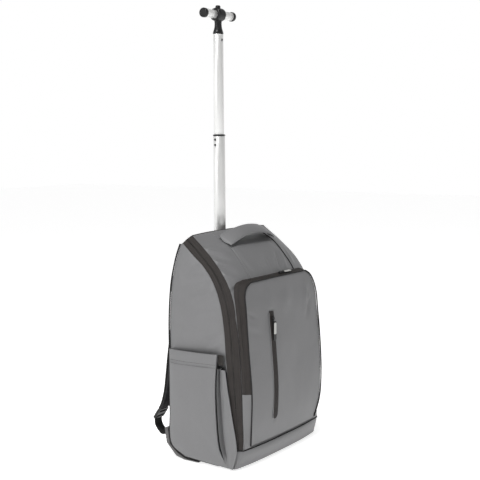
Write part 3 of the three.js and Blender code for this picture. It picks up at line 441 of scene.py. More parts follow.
def cappedFaces(count, sides, start=0):
    # faces of a closed body through rings of points
    last = start + (count - 1) * sides
    caps = [tuple(start + k for k in range(sides))[::-1], tuple(last + k for k in range(sides))]
    return gridFaces(count, sides, start, closed=True) + caps


def loopedFaces(count, sides):
    # faces of a body whose last ring of points meets its first
    last = (count - 1) * sides
    join = [(last + k, last + (k + 1) % sides, (k + 1) % sides, k) for k in range(sides)]
    return gridFaces(count, sides, closed=True) + join


def fullTurn(count):
    return np.arange(count) / count * 2 * math.pi


def squared(wave, power):
    # a sine or cosine pushed out towards the sides of a square
    return np.sign(wave) * np.abs(wave) ** power


def pathLengths(path):
    steps = np.linalg.norm(np.diff(path, axis=0), axis=-1)
    return np.concatenate([np.zeros((1, *steps.shape[1:])), np.cumsum(steps, axis=0)])


def placesAlong(path, length, at):
    return np.stack([np.interp(at, length, path[:, k]) for k in range(3)], axis=-1)


def rimmed(count, edge=0.012):
    # shares from 0 to 1, with two narrow steps at each end for the rolled seam
    inner = np.linspace(edge, 1 - edge, count)
    return np.concatenate([[0, edge * 0.3], inner, [1 - edge * 0.3, 1]])


def seamDip(rows, columns, depth, widthRows, widthColumns, sides="nswe"):
    # how deep each point of a panel lies in the valley of the seams round it
    r = np.linspace(0, 1, rows)[:, None] if np.isscalar(rows) else rows[:, None]
    c = np.linspace(0, 1, columns)[None, :] if np.isscalar(columns) else columns[None, :]
    dip = np.zeros((r.size, c.size))
    edges = (("s", r, widthRows), ("n", 1 - r, widthRows), ("w", c, widthColumns), ("e", 1 - c, widthColumns))
    for key, away, width in edges:
        if key in sides:
            dip = np.maximum(dip, np.exp(-away / width) + 0 * dip)
    return dip * depth


def foldHeight(points, folds):
    # soft ridges and valleys: from, to, width, height, and how strong the first end is against a middle swell
    total = np.zeros(points.shape[:-1])
    for start, end, width, height, root in folds:
        a, b = np.array(start, float), np.array(end, float)
        run = b - a
        t = np.clip(((points - a) @ run) / (run @ run), 0, 1)
        away = np.linalg.norm(points - a - t[..., None] * run, axis=-1)
        swell = (1 - root) * np.sin(t * math.pi) + root * (1 - t) ** 0.7 * (1 - t * t)
        total += height * np.exp(-((away / (width * (0.7 + 0.6 * t))) ** 2)) * swell
    return total


def waves(points, length, seed, count=7):
    # slow seeded waves of about that length, between about -1 and 1
    draw = np.random.default_rng(seed)
    total = np.zeros(points.shape[:-1])
    for _ in range(count):
        way = unit(draw.normal(size=3))
        total += np.sin(points @ way * 2 * math.pi / (length * draw.uniform(0.7, 1.5)) + draw.uniform(0, 7))
    return total / count**0.5


def sewnSheet(name, grid, place, wall, core, finish, body, replaced, lift=None):
    # a closed sheet of cloth: outer skin with its relief, inner skin, and a rolled rim
    normals = awayFrom(gridNormals(grid), grid, core)
    outer = grid + normals * (lift[..., None] if lift is not None else 0)
    rows, columns = grid.shape[:2]
    rim = np.zeros((rows, columns))
    rim[0], rim[-1], rim[:, 0], rim[:, -1] = 1, 1, 1, 1
    outer = outer - normals * (rim * wall * 0.35)[..., None]
    inner = grid - normals * (wall * (1 - 0.3 * rim))[..., None]
    total = rows * columns
    faces = gridFaces(rows, columns) + gridFaces(rows, columns, total, turned=True)
    ring = ([j for j in range(columns)] + [i * columns + columns - 1 for i in range(1, rows)]
            + [(rows - 1) * columns + j for j in range(columns - 2, -1, -1)]
            + [i * columns for i in range(rows - 2, 0, -1)])
    for k, a in enumerate(ring):
        b = ring[(k + 1) % len(ring)]
        faces.append((b, a, a + total, b + total))
    points = np.concatenate([outer.reshape(-1, 3), inner.reshape(-1, 3)])
    drawn = np.concatenate([place.reshape(-1, 3)] * 2)
    return addObject(name, points, faces, finish, body, replaced, drawn)


def tube(name, path, radius, finish, body, replaced=(), sides=10):
    path = np.asarray(path, float)
    run = unit(np.gradient(path, axis=0))
    up = np.array([0, 0, 1.0])
    first = unit(np.cross(run[0], up if abs(run[0] @ up) < 0.9 else np.array([0, 1.0, 0])))
    side = [first]
    for k in range(1, len(path)):
        side.append(unit(side[-1] - run[k] * (side[-1] @ run[k])))
    side = np.array(side)
    third = np.cross(run, side)
    size = np.broadcast_to(np.asarray(radius, float), (len(path),))
    angle = fullTurn(sides)
    ring = (side[:, None] * np.cos(angle)[None, :, None] + third[:, None] * np.sin(angle)[None, :, None])
    spots = path[:, None] + ring * size[:, None, None]
    lengths = pathLengths(path) * mm
    place = np.stack(np.broadcast_arrays(angle[None, :] * 0.001, lengths[:, None], 0.0), axis=-1)
    faces = cappedFaces(len(path), sides)
    return addObject(name, spots, faces, finish, body, replaced, place)


def lofted(name, rings, finish, body, replaced=(), smooth=True):
    # a closed body through rings of points, with its two ends capped
    rings = np.asarray(rings, float)
    count, sides = rings.shape[:2]
    lengths = pathLengths(rings.mean(axis=1)) * mm
    place = np.stack(np.broadcast_arrays(np.arange(sides)[None, :] / sides, lengths[:, None], 0.0), axis=-1)
    return addObject(name, rings, cappedFaces(count, sides), finish, body, replaced, place, smooth)


def samples(path, gap):
    # places along a path at about that gap, with their directions
    path = np.asarray(path, float)
    length = pathLengths(path)
    count = max(int(round(length[-1] / gap)), 1)
    at = (np.arange(count) + 0.5) / count * length[-1]
    ahead = placesAlong(path, length, np.minimum(at + 0.5, length[-1]))
    behind = placesAlong(path, length, np.maximum(at - 0.5, 0))
    return placesAlong(path, length, at), unit(ahead - behind)


def rowOfBits(name, path, outward, gap, size, finish, body, lift=0.0, turned=False):
    # stitches or zip teeth: small rounded bits along a path; size is along, across and high
    spots, run = samples(path, gap)
    out = placesAlong(outward, np.linspace(0, 1, len(outward)), np.linspace(0, 1, len(spots)))
    out = unit(out - run * np.sum(out * run, axis=1, keepdims=True))
    wide = np.cross(run, out)
    if turned:
        run, wide = wide, run
    shape = np.array([[-1, -0.55, 0.0], [-1, 0.55, 0.0], [-0.7, 0.8, 0.8], [-0.7, -0.8, 0.8],
                      [0.7, 0.8, 0.8], [0.7, -0.8, 0.8], [1, 0.55, 0.0], [1, -0.55, 0.0],
                      [-0.7, -0.8, -1.0], [-0.7, 0.8, -1.0], [0.7, 0.8, -1.0], [0.7, -0.8, -1.0]])
    sides = [(0, 1, 2, 3), (3, 2, 4, 5), (5, 4, 6, 7), (0, 3, 5, 7, 11, 8), (1, 9, 10, 6, 4, 2), (8, 9, 1, 0),
             (7, 6, 10, 11), (8, 11, 10, 9)]
    along, across, high = (s / 2 for s in size)
    points, faces = [], []
    for k in range(len(spots)):
        base = spots[k] + out[k] * lift
        start = len(points)
        for a, b, c in shape:
            points.append(base + run[k] * a * along + wide[k] * b * across + out[k] * c * high)
        faces += [tuple(start + f for f in face) for face in sides]
    return addObject(name, points, faces, finish, body)


# Seams of the shell, as in the part's source

bag = {
    "height": 500.0,
    "width": 332.0,
    "depth": 181.0,
    "wall": 2.0,
    "backWall": 3.0,
    "topSeam": 90.0,
    "bandCrown": 1.5,
}
halfWidth = bag["width"] / 2

seamRows = [  # rear seam of the band, front seam of the band, crown, seam of the back
    (0.010, -0.442, 0.006, 0.010, -0.475, 0.008, 0, 0.023, 0.265, 0.012),
    (0.090, -0.459, 0.012, 0.090, -0.547, 0.060, 0.033, 0.066, 0.475, 0.024),
    (0.238, -0.414, 0.012, 0.238, -0.544, 0.060, -0.011, 0.220, 0.495, 0.024),
    (0.370, -0.376, 0.012, 0.370, -0.533, 0.060, -0.006, 0.360, 0.495, 0.024),
    (0.500, -0.343, 0.012, 0.500, -0.514, 0.060, 0.006, 0.494, 0.495, 0.024),
    (0.624, -0.315, 0.012, 0.632, -0.472, 0.060, 0.017, 0.620, 0.492, 0.024),
    (0.712, -0.271, 0.012, 0.724, -0.431, 0.060, 0.050, 0.712, 0.481, 0.030),
    (0.794, -0.182, 0.018, 0.794, -0.354, 0.066, 0.098, 0.790, 0.464, 0.042),
    (0.862, -0.039, 0.030, 0.854, -0.238, 0.078, 0.102, 0.856, 0.431, 0.054),
    (0.916, 0.149, 0.048, 0.920, -0.050, 0.108, 0.112, 0.912, 0.392, 0.066),
    (0.962, 0.324, 0.084, 0.997, 0.221, 0.145, 0.028, 0.956, 0.354, 0.084),
]
lastRow = float(len(seamRows) - 1)


def seamTable(first):
    return [(-halfWidth * (1 - row[first + 2]), bag["depth"] * row[first + 1], bag["height"] * row[first])
            for row in seamRows]


rearTable, frontTable, backTable = seamTable(0), seamTable(3), seamTable(7)
crownTable = [row[6] for row in seamRows]


def frontSurface(s, share):
    # the top and front of the bag: s runs up the seam rows, share from -1 at the left to 1
    s, share = np.broadcast_arrays(np.asarray(s, float), np.asarray(share, float))
    seam = curve(frontTable, s)
    run = curve(frontTable, np.minimum(s + 0.5, lastRow)) - curve(frontTable, np.maximum(s - 0.5, 0))
    run[..., 0] = 0
    run = unit(run)
    rise = bag["depth"] * smoothNumber(crownTable, s) * (1 - np.abs(share) ** 3)
    return np.stack([-seam[..., 0] * share, seam[..., 1] - run[..., 2] * rise,
                     seam[..., 2] + run[..., 1] * rise], -1)


def bandSurface(s, t):
    point = (1 - t)[..., None] * curve(frontTable, s) + t[..., None] * curve(rearTable, s)
    point[..., 0] -= np.sin(t * math.pi) * bag["bandCrown"]
    return point


side = {"bulge": 6.0, "hem": 248.0, "guardEnd": 62.0, "dent": 15.0}  # dent: hidden behind the pocket's fold


def sideSurface(s, t):
    point = (1 - t)[..., None] * curve(rearTable, s) + t[..., None] * curve(backTable, s)
    upper = ease(point[..., 2], side["hem"] * 0.84, side["hem"] * 1.2)
    pressed = -side["bulge"] * ease(point[..., 2], side["guardEnd"] * 1.32, side["guardEnd"] * 2.3)
    bulge = pressed + (side["bulge"] - pressed) * upper
    point[..., 0] -= bulge * 4 * t * (1 - t) * np.minimum(1, np.minimum((lastRow - s) / 2, s))
    hidden = 1 - ease(point[..., 2], side["hem"] * 0.80, side["hem"] * 0.98)
    point[..., 0] += side["dent"] * hidden * ease(t, 0.0, 0.08) * (1 - ease(t, 0.35, 0.6)) * ease(s, 0.2, 0.8)
    return point


backPlane = bag["depth"] / 2


def backSurface(s, share):
    seam = curve(backTable, s)
    flat = 1 - np.abs(share) ** 3.5
    return np.stack([-seam[..., 0] * share, seam[..., 1] + (backPlane - seam[..., 1]) * flat,
                     seam[..., 2] + 0 * flat], -1)


def bodyCore(grid):
    core = np.zeros_like(grid)
    core[..., 1] = bag["depth"] * 0.03
    core[..., 2] = np.clip(grid[..., 2], bag["height"] * 0.25, bag["height"] * 0.75)
    return core


def flatPlace(grid):
    # how far along the rows and across them each point lies, in metres
    along = pathLengths(grid)
    across = pathLengths(grid.swapaxes(0, 1)).T
    return np.stack([across * mm, along * mm, np.zeros(along.shape)], axis=-1)


def panel(name, grid, finish, replaced, wall=None, lift=None, core=None):
    core = bodyCore(grid) if core is None else core
    wall = wall or bag["wall"]
    return sewnSheet(name, grid, flatPlace(grid), wall, core, finish, "bag", replaced, lift)


# Top and front panels

topPanel = {
    "rows": 190,
    "columns": 60,
    "stripColumns": 26,
    "softness": 1.1,
    "seamDepth": 1.1,
    "folds": 2.8,
}
seamShare = bag["topSeam"] / abs(curve(frontTable, np.array(1.0))[0])
topFolds = [
    ((-147, 18, 481), (-92, -22, 472), 6, -1.3, 0.8), ((-149, 4, 470), (-98, -34, 455), 6, 1.2, 0.8),
    ((-150, -10, 458), (-110, -44, 440), 6, -1.5, 0.8), ((-151, -24, 446), (-104, -62, 421), 6, 1.3, 0.8),
    ((-152, -36, 436), (-108, -68, 412), 6, -1.5, 0.8), ((-152, -50, 419), (-116, -74, 402), 5, 1.1, 0.7),
    ((-154, -69, 386), (-124, -78, 396), 5, -1.2, 0.5), ((-152, -30, 441), (-84, -50, 440), 5, 0.5, 0.6),
    ((43, -49, 448), (12, -88, 412), 6, 1.3, 0.2), ((58, -47, 448), (30, -84, 411), 5, -1.4, 0.2),
    ((79, -47, 447), (52, -78, 410), 6, 1.4, 0.2), ((-34, -58, 437), (-36, -90, 408), 6, 1.0, 0.2),
    ((-1, -54, 443), (-14, -90, 408), 6, -1.0, 0.2), ((-82, -51, 442), (-72, -84, 407), 7, -0.8, 0.2),
    ((112, -40, 452), (104, -70, 412), 7, 0.9, 0.2), ((60, -20, 470), (86, -40, 452), 8, -0.9, 0.2),
]


def topGrid(low, high, columns):
    rows = 1 + (lastRow - 1) * rimmed(topPanel["rows"], 0.004)
    s, share = np.meshgrid(rows, low + (high - low) * rimmed(columns, 0.01), indexing="ij")
    return s, share, frontSurface(s, share)


def topLift(s, share, grid, low, high):
    r = (s - 1) / (lastRow - 1)
    c = (share - low) / (high - low)
    lift = waves(grid, 120, 3) * topPanel["softness"] + waves(grid, 45, 4) * topPanel["softness"] * 0.25
    lift *= np.clip(np.minimum(c, 1 - c) * 12, 0, 1) * np.clip((1 - r) * 15, 0, 1) * np.clip(r * 15, 0, 1)
    lift += topPanel["folds"] * foldHeight(grid, topFolds) * np.clip(np.minimum(c, 1 - c) * 20 + 0.25, 0, 1)
    lift -= seamDip(r[:, 0], c[0], topPanel["seamDepth"], 0.006, 0.02)
    return lift


for name, low, high, columns in (("top_front_centre", -seamShare, seamShare, topPanel["columns"]),
                                 ("top_front_left", -1, -seamShare, topPanel["stripColumns"]),
                                 ("top_front_right", seamShare, 1, topPanel["stripColumns"])):
    s, share, grid = topGrid(low, high, columns)
    panel(f"{name}_cloth", grid, "cloth", [name], lift=topLift(s, share, grid, low, high))


def seamCord(name, seam, stand, radius):
    tube(name, seam + unit(seam - bodyCore(seam)) * stand, radius, "piping", "bag")


seamCord("top_seam_right_cord", frontSurface(np.linspace(1.2, 9.9, 120), np.full(120, seamShare)), 0.1, 0.9)
seamCord("base_seam_cord", frontSurface(np.full(120, 1.0), np.linspace(-0.995, 0.995, 120)), 0.5, 1.1)
print("top and front panels ready")


# Side panels

sidePanel = {"rows": 180, "columns": 60, "softness": 1.0, "folds": 2.7, "seamDepth": 0.9}
sideFolds = [
    ((-161, 5, 438), (-166, 34, 416), 5, -0.9, 0.7), ((-163, -11, 418), (-166, 46, 404), 6, 0.9, 0.7),
    ((-163, -25, 403), (-167, 6, 378), 6, -1.1, 0.7), ((-165, -29, 381), (-168, 42, 356), 7, 1.0, 0.7),
    ((-165, -45, 357), (-169, 22, 338), 6, -0.8, 0.6), ((-165, -53, 293), (-167, 2, 266), 6, -1.0, 0.7),
    ((-164, -56, 275), (-165, -10, 253), 6, 0.9, 0.7), ((-166, 80, 250), (-168, 40, 300), 9, 0.6, 0.3),
    ((-165, 70, 430), (-167, 50, 380), 9, -0.6, 0.3), ((-165, -50, 320), (-168, -10, 318), 6, 0.5, 0.6),
]

s, t = np.meshgrid(lastRow * rimmed(sidePanel["rows"], 0.004),
                   rimmed(sidePanel["columns"], 0.01), indexing="ij")
sideGrid = sideSurface(s, t)
inside = np.clip(np.minimum(t, 1 - t) * 10, 0, 1) * np.clip(np.minimum(s, lastRow - s) * 2, 0, 1)
for label, sign in (("left", 1.0), ("right", -1.0)):
    lift = (waves(sideGrid, 110, 11 if sign > 0 else 12) * sidePanel["softness"]
            + waves(sideGrid, 40, 13) * sidePanel["softness"] * 0.2) * inside
    lift += sidePanel["folds"] * foldHeight(sideGrid, sideFolds) * inside
    lift -= seamDip(s[:, 0] / lastRow, t[0], sidePanel["seamDepth"], 0.006, 0.02)
    turned = sideGrid * (np.array([sign, 1, 1]))
    panel(f"side_panel_{label}_cloth", turned, "cloth", [f"side_panel_{label}"], lift=lift)
print("side panels ready")


# Main zip bands, with the coil along the middle

band = {
    "rows": 200,
    "columns": 22,
    "cover": 0.9,  # how high the folded cloth beside the coil is
    "tapeEdge": 0.5,
    "end": 1.04,  # row of the seam table up to which the base cloth reaches round the corner
    "tooth": (2.6, 1.05, 1.3),
    "toothGap": 1.9,
    "stitch": (2.3, 0.6, 0.5),
    "stitchGap": 3.4,
    "ridgeRoom": 8.0,  # how far the band behind the ridge reaches back from its middle
}


def bandRelief(t):
    # folded cloth edges on both sides of the coil, and a step where the tape is sewn on
    cover = np.exp(-(((np.abs(t - 0.5) - 0.10) / 0.045) ** 2)) * band["cover"]
    steps = band["tapeEdge"] * (ease(np.abs(t - 0.5), 0.36, 0.33) - 0.5)
    groove = -0.5 * np.exp(-(((t - 0.5) / 0.03) ** 2))
    return cover + steps + groove


bandEnd = band["end"]
footRows, footColumns = rimmed(30, 0.02), rimmed(band["columns"], 0.03)
s, t = np.meshgrid(bandEnd * footRows, footColumns, indexing="ij")
bandFoot = bandSurface(s, t)
s, t = np.meshgrid(bandEnd + (lastRow - bandEnd) * rimmed(band["rows"], 0.003), footColumns, indexing="ij")
bandGrid = bandSurface(s, t)
bandLift = bandRelief(t) + waves(bandGrid, 60, 21) * 0.3
middle = bandSurface(np.linspace(bandEnd + 0.03, lastRow, 300), np.full(300, 0.5))
for label, sign in (("left", 1.0), ("right", -1.0)):
    flip = np.array([sign, 1, 1])
    panel(f"zip_band_{label}_tape", bandGrid * flip, "tape", [f"zip_band_{label}"], lift=bandLift)
    panel(f"zip_band_{label}_foot", bandFoot * flip, "cloth", [f"zip_band_{label}"],
          lift=waves(bandFoot, 40, 22) * 0.4 - seamDip(footRows, footColumns, 0.8, 0.03, 0.05))
    bar = bandFoot[-3, 1:-1] * flip
    seamCord(f"zip_band_{label}_bar", bar, 0.4, 1.5)
    outward = unit(middle * flip - bodyCore(middle))
    rowOfBits(f"zip_band_{label}_coil", middle * flip, outward, band["toothGap"], band["tooth"],
              "coil", "bag", lift=0.2, turned=True)


for label, sign in (("left", 1.0), ("right", -1.0)):
    flip = np.array([sign, 1, 1])
    for k, column in enumerate((2, -3)):
        sewn = (bandGrid + unit(bandGrid - bodyCore(bandGrid)) * bandLift[..., None])[2:-2, column]
        outward = unit(sewn - bodyCore(sewn)) * flip
        rowOfBits(f"zip_band_{label}_stitch_{k}", sewn * flip, outward, band["stitchGap"], band["stitch"],
                  "darkThread", "bag", lift=0.05)


def ledgeFront(share):
    flat = 1 - np.abs(share) ** 4
    end, back = curve(rearTable, np.array(lastRow)), curve(backTable, np.array(lastRow))
    ridgeMiddle = frontSurface(np.array(lastRow), np.array(0.0))
    depth = end[1] - flat * (end[1] - ridgeMiddle[1] - band["ridgeRoom"])
    return np.stack([-end[0] * share, depth, end[2] - flat * (end[2] - back[2])], -1)


t, share = np.meshgrid(rimmed(12, 0.03), 2 * rimmed(110, 0.004) - 1, indexing="ij")
ridge = frontSurface(np.full_like(share[0], lastRow), share[0])
bandTopGrid = ridge[None] * (1 - t[..., None]) + ledgeFront(share[0])[None] * t[..., None]
panel("zip_band_top_tape", bandTopGrid, "tape", ["zip_band_top"], lift=bandRelief(t))
topMiddle = (ridge + ledgeFront(share[0])) / 2
rowOfBits("zip_band_top_coil", topMiddle, np.tile([0, 0.5, 0.8], (len(topMiddle), 1)), band["toothGap"],
          band["tooth"], "coil", "bag", lift=0.2, turned=True)
print("zip bands ready")


# Back panel and base

back = {"from": 1.5, "rows": 140, "columns": 90, "softness": 0.25, "seamDepth": 0.8}  # from which seam row
backSpan = lastRow - back["from"]
s, share = np.meshgrid(back["from"] + backSpan * rimmed(back["rows"], 0.004),
                       2 * rimmed(back["columns"], 0.004) - 1, indexing="ij")
backGrid = backSurface(s, share)
backLift = waves(backGrid, 70, 31) * back["softness"]
backLift -= seamDip((s[:, 0] - back["from"]) / backSpan, (share[0] + 1) / 2, back["seamDepth"], 0.006, 0.008)
panel("back_panel_mesh", backGrid, "mesh", ["back_panel"], wall=bag["backWall"],
      lift=np.minimum(backLift, 0))


baseSheet = {"bow": 0.05, "rows": 110, "columns": 90, "seamDepth": 0.8}  # bow is a share of the bag's depth


def baseRow(share, edge, bowed):
    bow = bag["depth"] * baseSheet["bow"] * (1 - np.abs(share) ** 3) * bowed
    return np.stack([-edge[0] * share, edge[1] - bow, edge[2] + 0 * share], -1)


def baseRows(share):
    # from the lowest seam in front down, back under the bag, and up to the back panel
    rows = [frontSurface(np.full_like(share, 1.0), share)]
    for s in (0.75, 0.5, 0.25, 0.0):
        rows.append(baseRow(share, curve(frontTable, np.array(s)), 1))
    for t in (0, 0.06, 0.12, 0.2, 0.3, 0.4, 0.5, 0.6, 0.72, 0.82, 0.9, 0.96):
        rows.append(baseRow(share, sideSurface(np.array(0.0), np.array(float(t))), 1 - ease(t, 0, 0.12)))
    for s in (0.0, 0.25, 0.5, 0.75, 1.0, 1.25):
        rows.append(baseRow(share, curve(backTable, np.array(s)), 0))
    rows.append(backSurface(np.full_like(share, back["from"]), share))
    return np.array(rows)


share = 2 * rimmed(baseSheet["columns"], 0.004) - 1
coarse = baseRows(share)
at = np.linspace(0, len(coarse) - 1, baseSheet["rows"])
baseGrid = np.stack([curve(coarse[:, j], at) for j in range(coarse.shape[1])], axis=1)
base = panel("base_panel_cloth", baseGrid, "cloth", ["base_panel"],
             lift=-seamDip(at / at[-1], (share + 1) / 2, baseSheet["seamDepth"], 0.008, 0.006))
print("back and base ready")


# Front pocket

pocket = {
    "reach": 25.0,
    "bow": 4.0,
    "topBow": 0.8,
    "sewnInset": 0.8,
    "footInset": 2.5,
    "topArch": 0.06,  # of the reach
    "zipFrom": 167.0,
    "rows": 120,
    "columns": 110,
    "softness": 0.8,
    "folds": 2.0,
    "seamDepth": 0.9,
}
frontHalf = 155.0  # half width of the body's front
pocketRows = [  # height, half width, reach, half width of the sewn seam, its height
    (0.094, 0.790, 0.14, 0.915, 0.094),
    (0.200, 0.861, 0.54, 0.934, 0.200),
    (0.334, 0.873, 0.74, 0.934, 0.334),
    (0.500, 0.886, 0.70, 0.934, 0.500),
    (0.620, 0.880, 0.76, 0.934, 0.622),
    (0.700, 0.873, 0.84, 0.928, 0.712),
    (0.750, 0.849, 0.90, 0.898, 0.768),
    (0.782, 0.789, 1.04, 0.831, 0.800),
    (0.802, 0.675, 1.22, 0.705, 0.812),
]
frontLine = frontSurface(np.linspace(1, 10, 400)[:, None], np.linspace(-1, 0, 41)[None, :])


def bodyFrontAt(x, z):
    # how far forward the body's front lies at a place across and a height
    x, z = np.broadcast_arrays(np.asarray(x, float), np.asarray(z, float))
    found = np.empty(x.shape)
    for place in np.ndindex(x.shape):
        column = (1 - min(1.0, abs(x[place]) / frontHalf)) * (frontLine.shape[1] - 1)
        low = int(min(column, frontLine.shape[1] - 2))
        part = column - low
        y = frontLine[:, low, 1] * (1 - part) + frontLine[:, low + 1, 1] * part
        up = frontLine[:, low, 2] * (1 - part) + frontLine[:, low + 1, 2] * part
        found[place] = np.interp(z[place], up, y)
    return found


pocketTable = np.array([(-halfWidth * row[1], 0, bag["height"] * row[0]) for row in pocketRows])
pocketTable[:, 1] = bodyFrontAt(frontHalf, pocketTable[:, 2])
pocketTable[:, 1] -= pocket["reach"] * np.array([row[2] for row in pocketRows])
sewnTable = np.array([(-halfWidth * row[3], 0, bag["height"] * row[4]) for row in pocketRows])
pocketLast = float(len(pocketRows) - 1)


def pocketSurface(s, share):
    edge = curve(pocketTable, s)
    bow = 1 - share * share
    height = edge[..., 2] + pocket["topBow"] * bow * ease(s, pocketLast - 1.2, pocketLast)
    return np.stack([-edge[..., 0] * share, edge[..., 1] - pocket["bow"] * bow, height], -1)


def sewnSeam(s):
    point = curve(sewnTable, s)
    point[..., 1] = bodyFrontAt(point[..., 0] * 0.975, point[..., 2]) - pocket["sewnInset"]
    return point


def pocketFrontAt(x, z):
    edge = curve(pocketTable, np.linspace(0, pocketLast, 200))
    half = np.interp(z, edge[:, 2], -edge[:, 0])
    return np.interp(z, edge[:, 2], edge[:, 1]) - pocket["bow"] * (1 - (x / half) ** 2)


s = pocketLast * rimmed(pocket["rows"], 0.004)
share = 2 * rimmed(pocket["columns"], 0.003) - 1
s, share = np.meshgrid(s, share, indexing="ij")
pocketGrid = pocketSurface(s, share)
pocketGrid[0, :, 1] = bodyFrontAt(pocketGrid[0, :, 0], pocketGrid[0, :, 2]) - pocket["footInset"]
pocketFolds = [
    ((88, -105, 341), (113, -100, 375), 7, 1.3, 0.3), ((97, -103, 380), (86, -108, 300), 8, 1.6, 0.2),
    ((118, -105, 345), (90, -109, 290), 7, -1.3, 0.2), ((106, -103, 385), (100, -107, 310), 5, -0.9, 0.1),
    ((-60, -99, 385), (-47, -106, 335), 10, 0.9, 0.2), ((20, -100, 380), (0, -108, 320), 14, 1.0, 0.2),
    ((48, -100, 385), (40, -107, 325), 12, -0.9, 0.2), ((-146, -105, 341), (-92, -107, 318), 5, -0.9, 0.6),
    ((-146, -108, 318), (-100, -109, 300), 5, 0.6, 0.6), ((-148, -109, 303), (-84, -110, 283), 5, -0.8, 0.6),
    ((-147, -109, 262), (-100, -110, 250), 6, -0.5, 0.6), ((-130, -104, 390), (-96, -107, 350), 7, 0.7, 0.5),
    ((-146, -108, 230), (-90, -110, 222), 7, 0.5, 0.6), ((146, -108, 240), (96, -110, 226), 8, -0.6, 0.6),
    ((146, -108, 200), (104, -110, 190), 8, 0.6, 0.6), ((-120, -104, 110), (-60, -104, 96), 9, 0.6, 0.2),
]
frontZip = {"x": -56.0, "low": 95.0, "high": 332.0, "width": 18.0, "foot": 9.0, "tape": 1.2, "trough": 1.3}
zipTrough = np.exp(-(((pocketGrid[..., 0] - frontZip["x"]) / 7.5) ** 4))
zipTrough *= ease(pocketGrid[..., 2], frontZip["low"] - 9, frontZip["low"] + 1)
zipTrough *= ease(-pocketGrid[..., 2], -frontZip["high"] - 8, -frontZip["high"] - 1)
pocketInside = np.clip(np.minimum(1 - share, 1 + share) * 14, 0, 1)
pocketInside *= np.clip(np.minimum(s, pocketLast - s) * 2.5, 0, 1)
pocketLift = waves(pocketGrid, 130, 41) + waves(pocketGrid, 46, 42) * 0.22
pocketLift = pocketLift * pocket["softness"] * pocketInside
pocketLift += pocket["folds"] * foldHeight(pocketGrid, pocketFolds) * np.clip(pocketInside + 0.15, 0, 1)
pocketLift -= frontZip["trough"] * zipTrough
pocketLift -= seamDip(s[:, 0] / pocketLast, (share[0] + 1) / 2, pocket["seamDepth"], 0.008, 0.006)


def pocketCore(grid):
    core = np.zeros_like(grid)
    core[..., 2] = np.clip(grid[..., 2], bag["height"] * 0.2, bag["height"] * 0.7)
    core[..., 1] = bodyFrontAt(frontHalf, core[..., 2]) - pocket["reach"] * 0.4
    return core


panel("front_pocket_cloth", pocketGrid, "cloth", ["front_pocket_panel"],
      lift=pocketLift, core=pocketCore(pocketGrid))


gusset = {
    "rows": 420,
    "columns": 14,
    "cover": 0.8,
    "zipShare": 0.62,  # where the coil runs between the front and the sewn seam
    "tooth": (2.2, 1.0, 1.2),
    "toothGap": 1.9,
}


def aroundPocket(left, topRun):
    # up the left edge, over the top and down the right edge
    return np.concatenate([left[:-1], topRun, (left[:-1] * mirrorX)[::-1]])


def evenly(path, twin, count):
    # both paths with points at even steps of the first one
    length = pathLengths(path)
    at = np.linspace(0, length[-1], count)
    return placesAlong(path, length, at), placesAlong(twin, length, at)


up = np.linspace(0, pocketLast, 130)
topShare = np.linspace(-1, 1, 90)
topFront = pocketSurface(np.full(len(topShare), pocketLast), topShare)
loopFront = aroundPocket(pocketSurface(up, np.full(len(up), -1.0)), topFront)
sewnTop = sewnSeam(np.array([pocketLast]))[0]
arch = pocket["reach"] * pocket["topArch"] * (1 - topShare**2)
topRun = np.stack([-sewnTop[0] * topShare, 0 * topShare, sewnTop[2] + arch], -1)
topRun[:, 1] = bodyFrontAt(topRun[:, 0], topRun[:, 2]) - pocket["sewnInset"]
loopSewn = aroundPocket(sewnSeam(up), topRun)
loopFront, loopSewn = evenly(loopFront, loopSewn, gusset["rows"])
lastLoop = gusset["rows"] - 1
zipAt = np.argmax(loopFront[:, 2] > pocket["zipFrom"])


def gussetPart(node, first, last, finish, withZip=False):
    share = rimmed(gusset["columns"], 0.04)
    rows = np.arange(first, last + 1)
    across = share[None, :, None]
    grid = loopFront[rows][:, None] * (1 - across) + loopSewn[rows][:, None] * across
    lift = waves(grid, 70, 51) * 0.3
    if withZip:
        cover = np.exp(-(((np.abs(share - gusset["zipShare"]) - 0.10) / 0.05) ** 2))
        lift = lift + cover[None, :] * gusset["cover"]
    lift = lift - seamDip(len(rows), share, 0.5, 0.004, 0.04, "we")
    panel(f"{node}_{finish}", grid, finish, [node], lift=lift, core=pocketCore(grid))
    return rows


zipRows = gussetPart("pocket_zip_gusset", zipAt, lastLoop - zipAt, "tape", withZip=True)
gussetPart("pocket_gusset_left", 0, zipAt, "cloth")
gussetPart("pocket_gusset_right", lastLoop - zipAt, lastLoop, "cloth")
coilLine = loopFront[zipRows] * (1 - gusset["zipShare"]) + loopSewn[zipRows] * gusset["zipShare"]
rowOfBits("pocket_coil", coilLine, unit(coilLine - pocketCore(coilLine)), gusset["toothGap"], gusset["tooth"],
          "coil", "bag", lift=0.15, turned=True)

pipe = {"radius": 1.5, "stand": 1.5, "lean": (0, -0.8, 0)}
seam = loopFront[2:-2:2]
out = unit(unit(seam - pocketCore(seam)) + np.array(pipe["lean"]))
tube("pocket_piping_cord", seam + out * pipe["stand"], pipe["radius"], "piping", "bag",
     ["pocket_piping"])
print("front pocket ready")


# Side pockets, their folded gussets and elastic

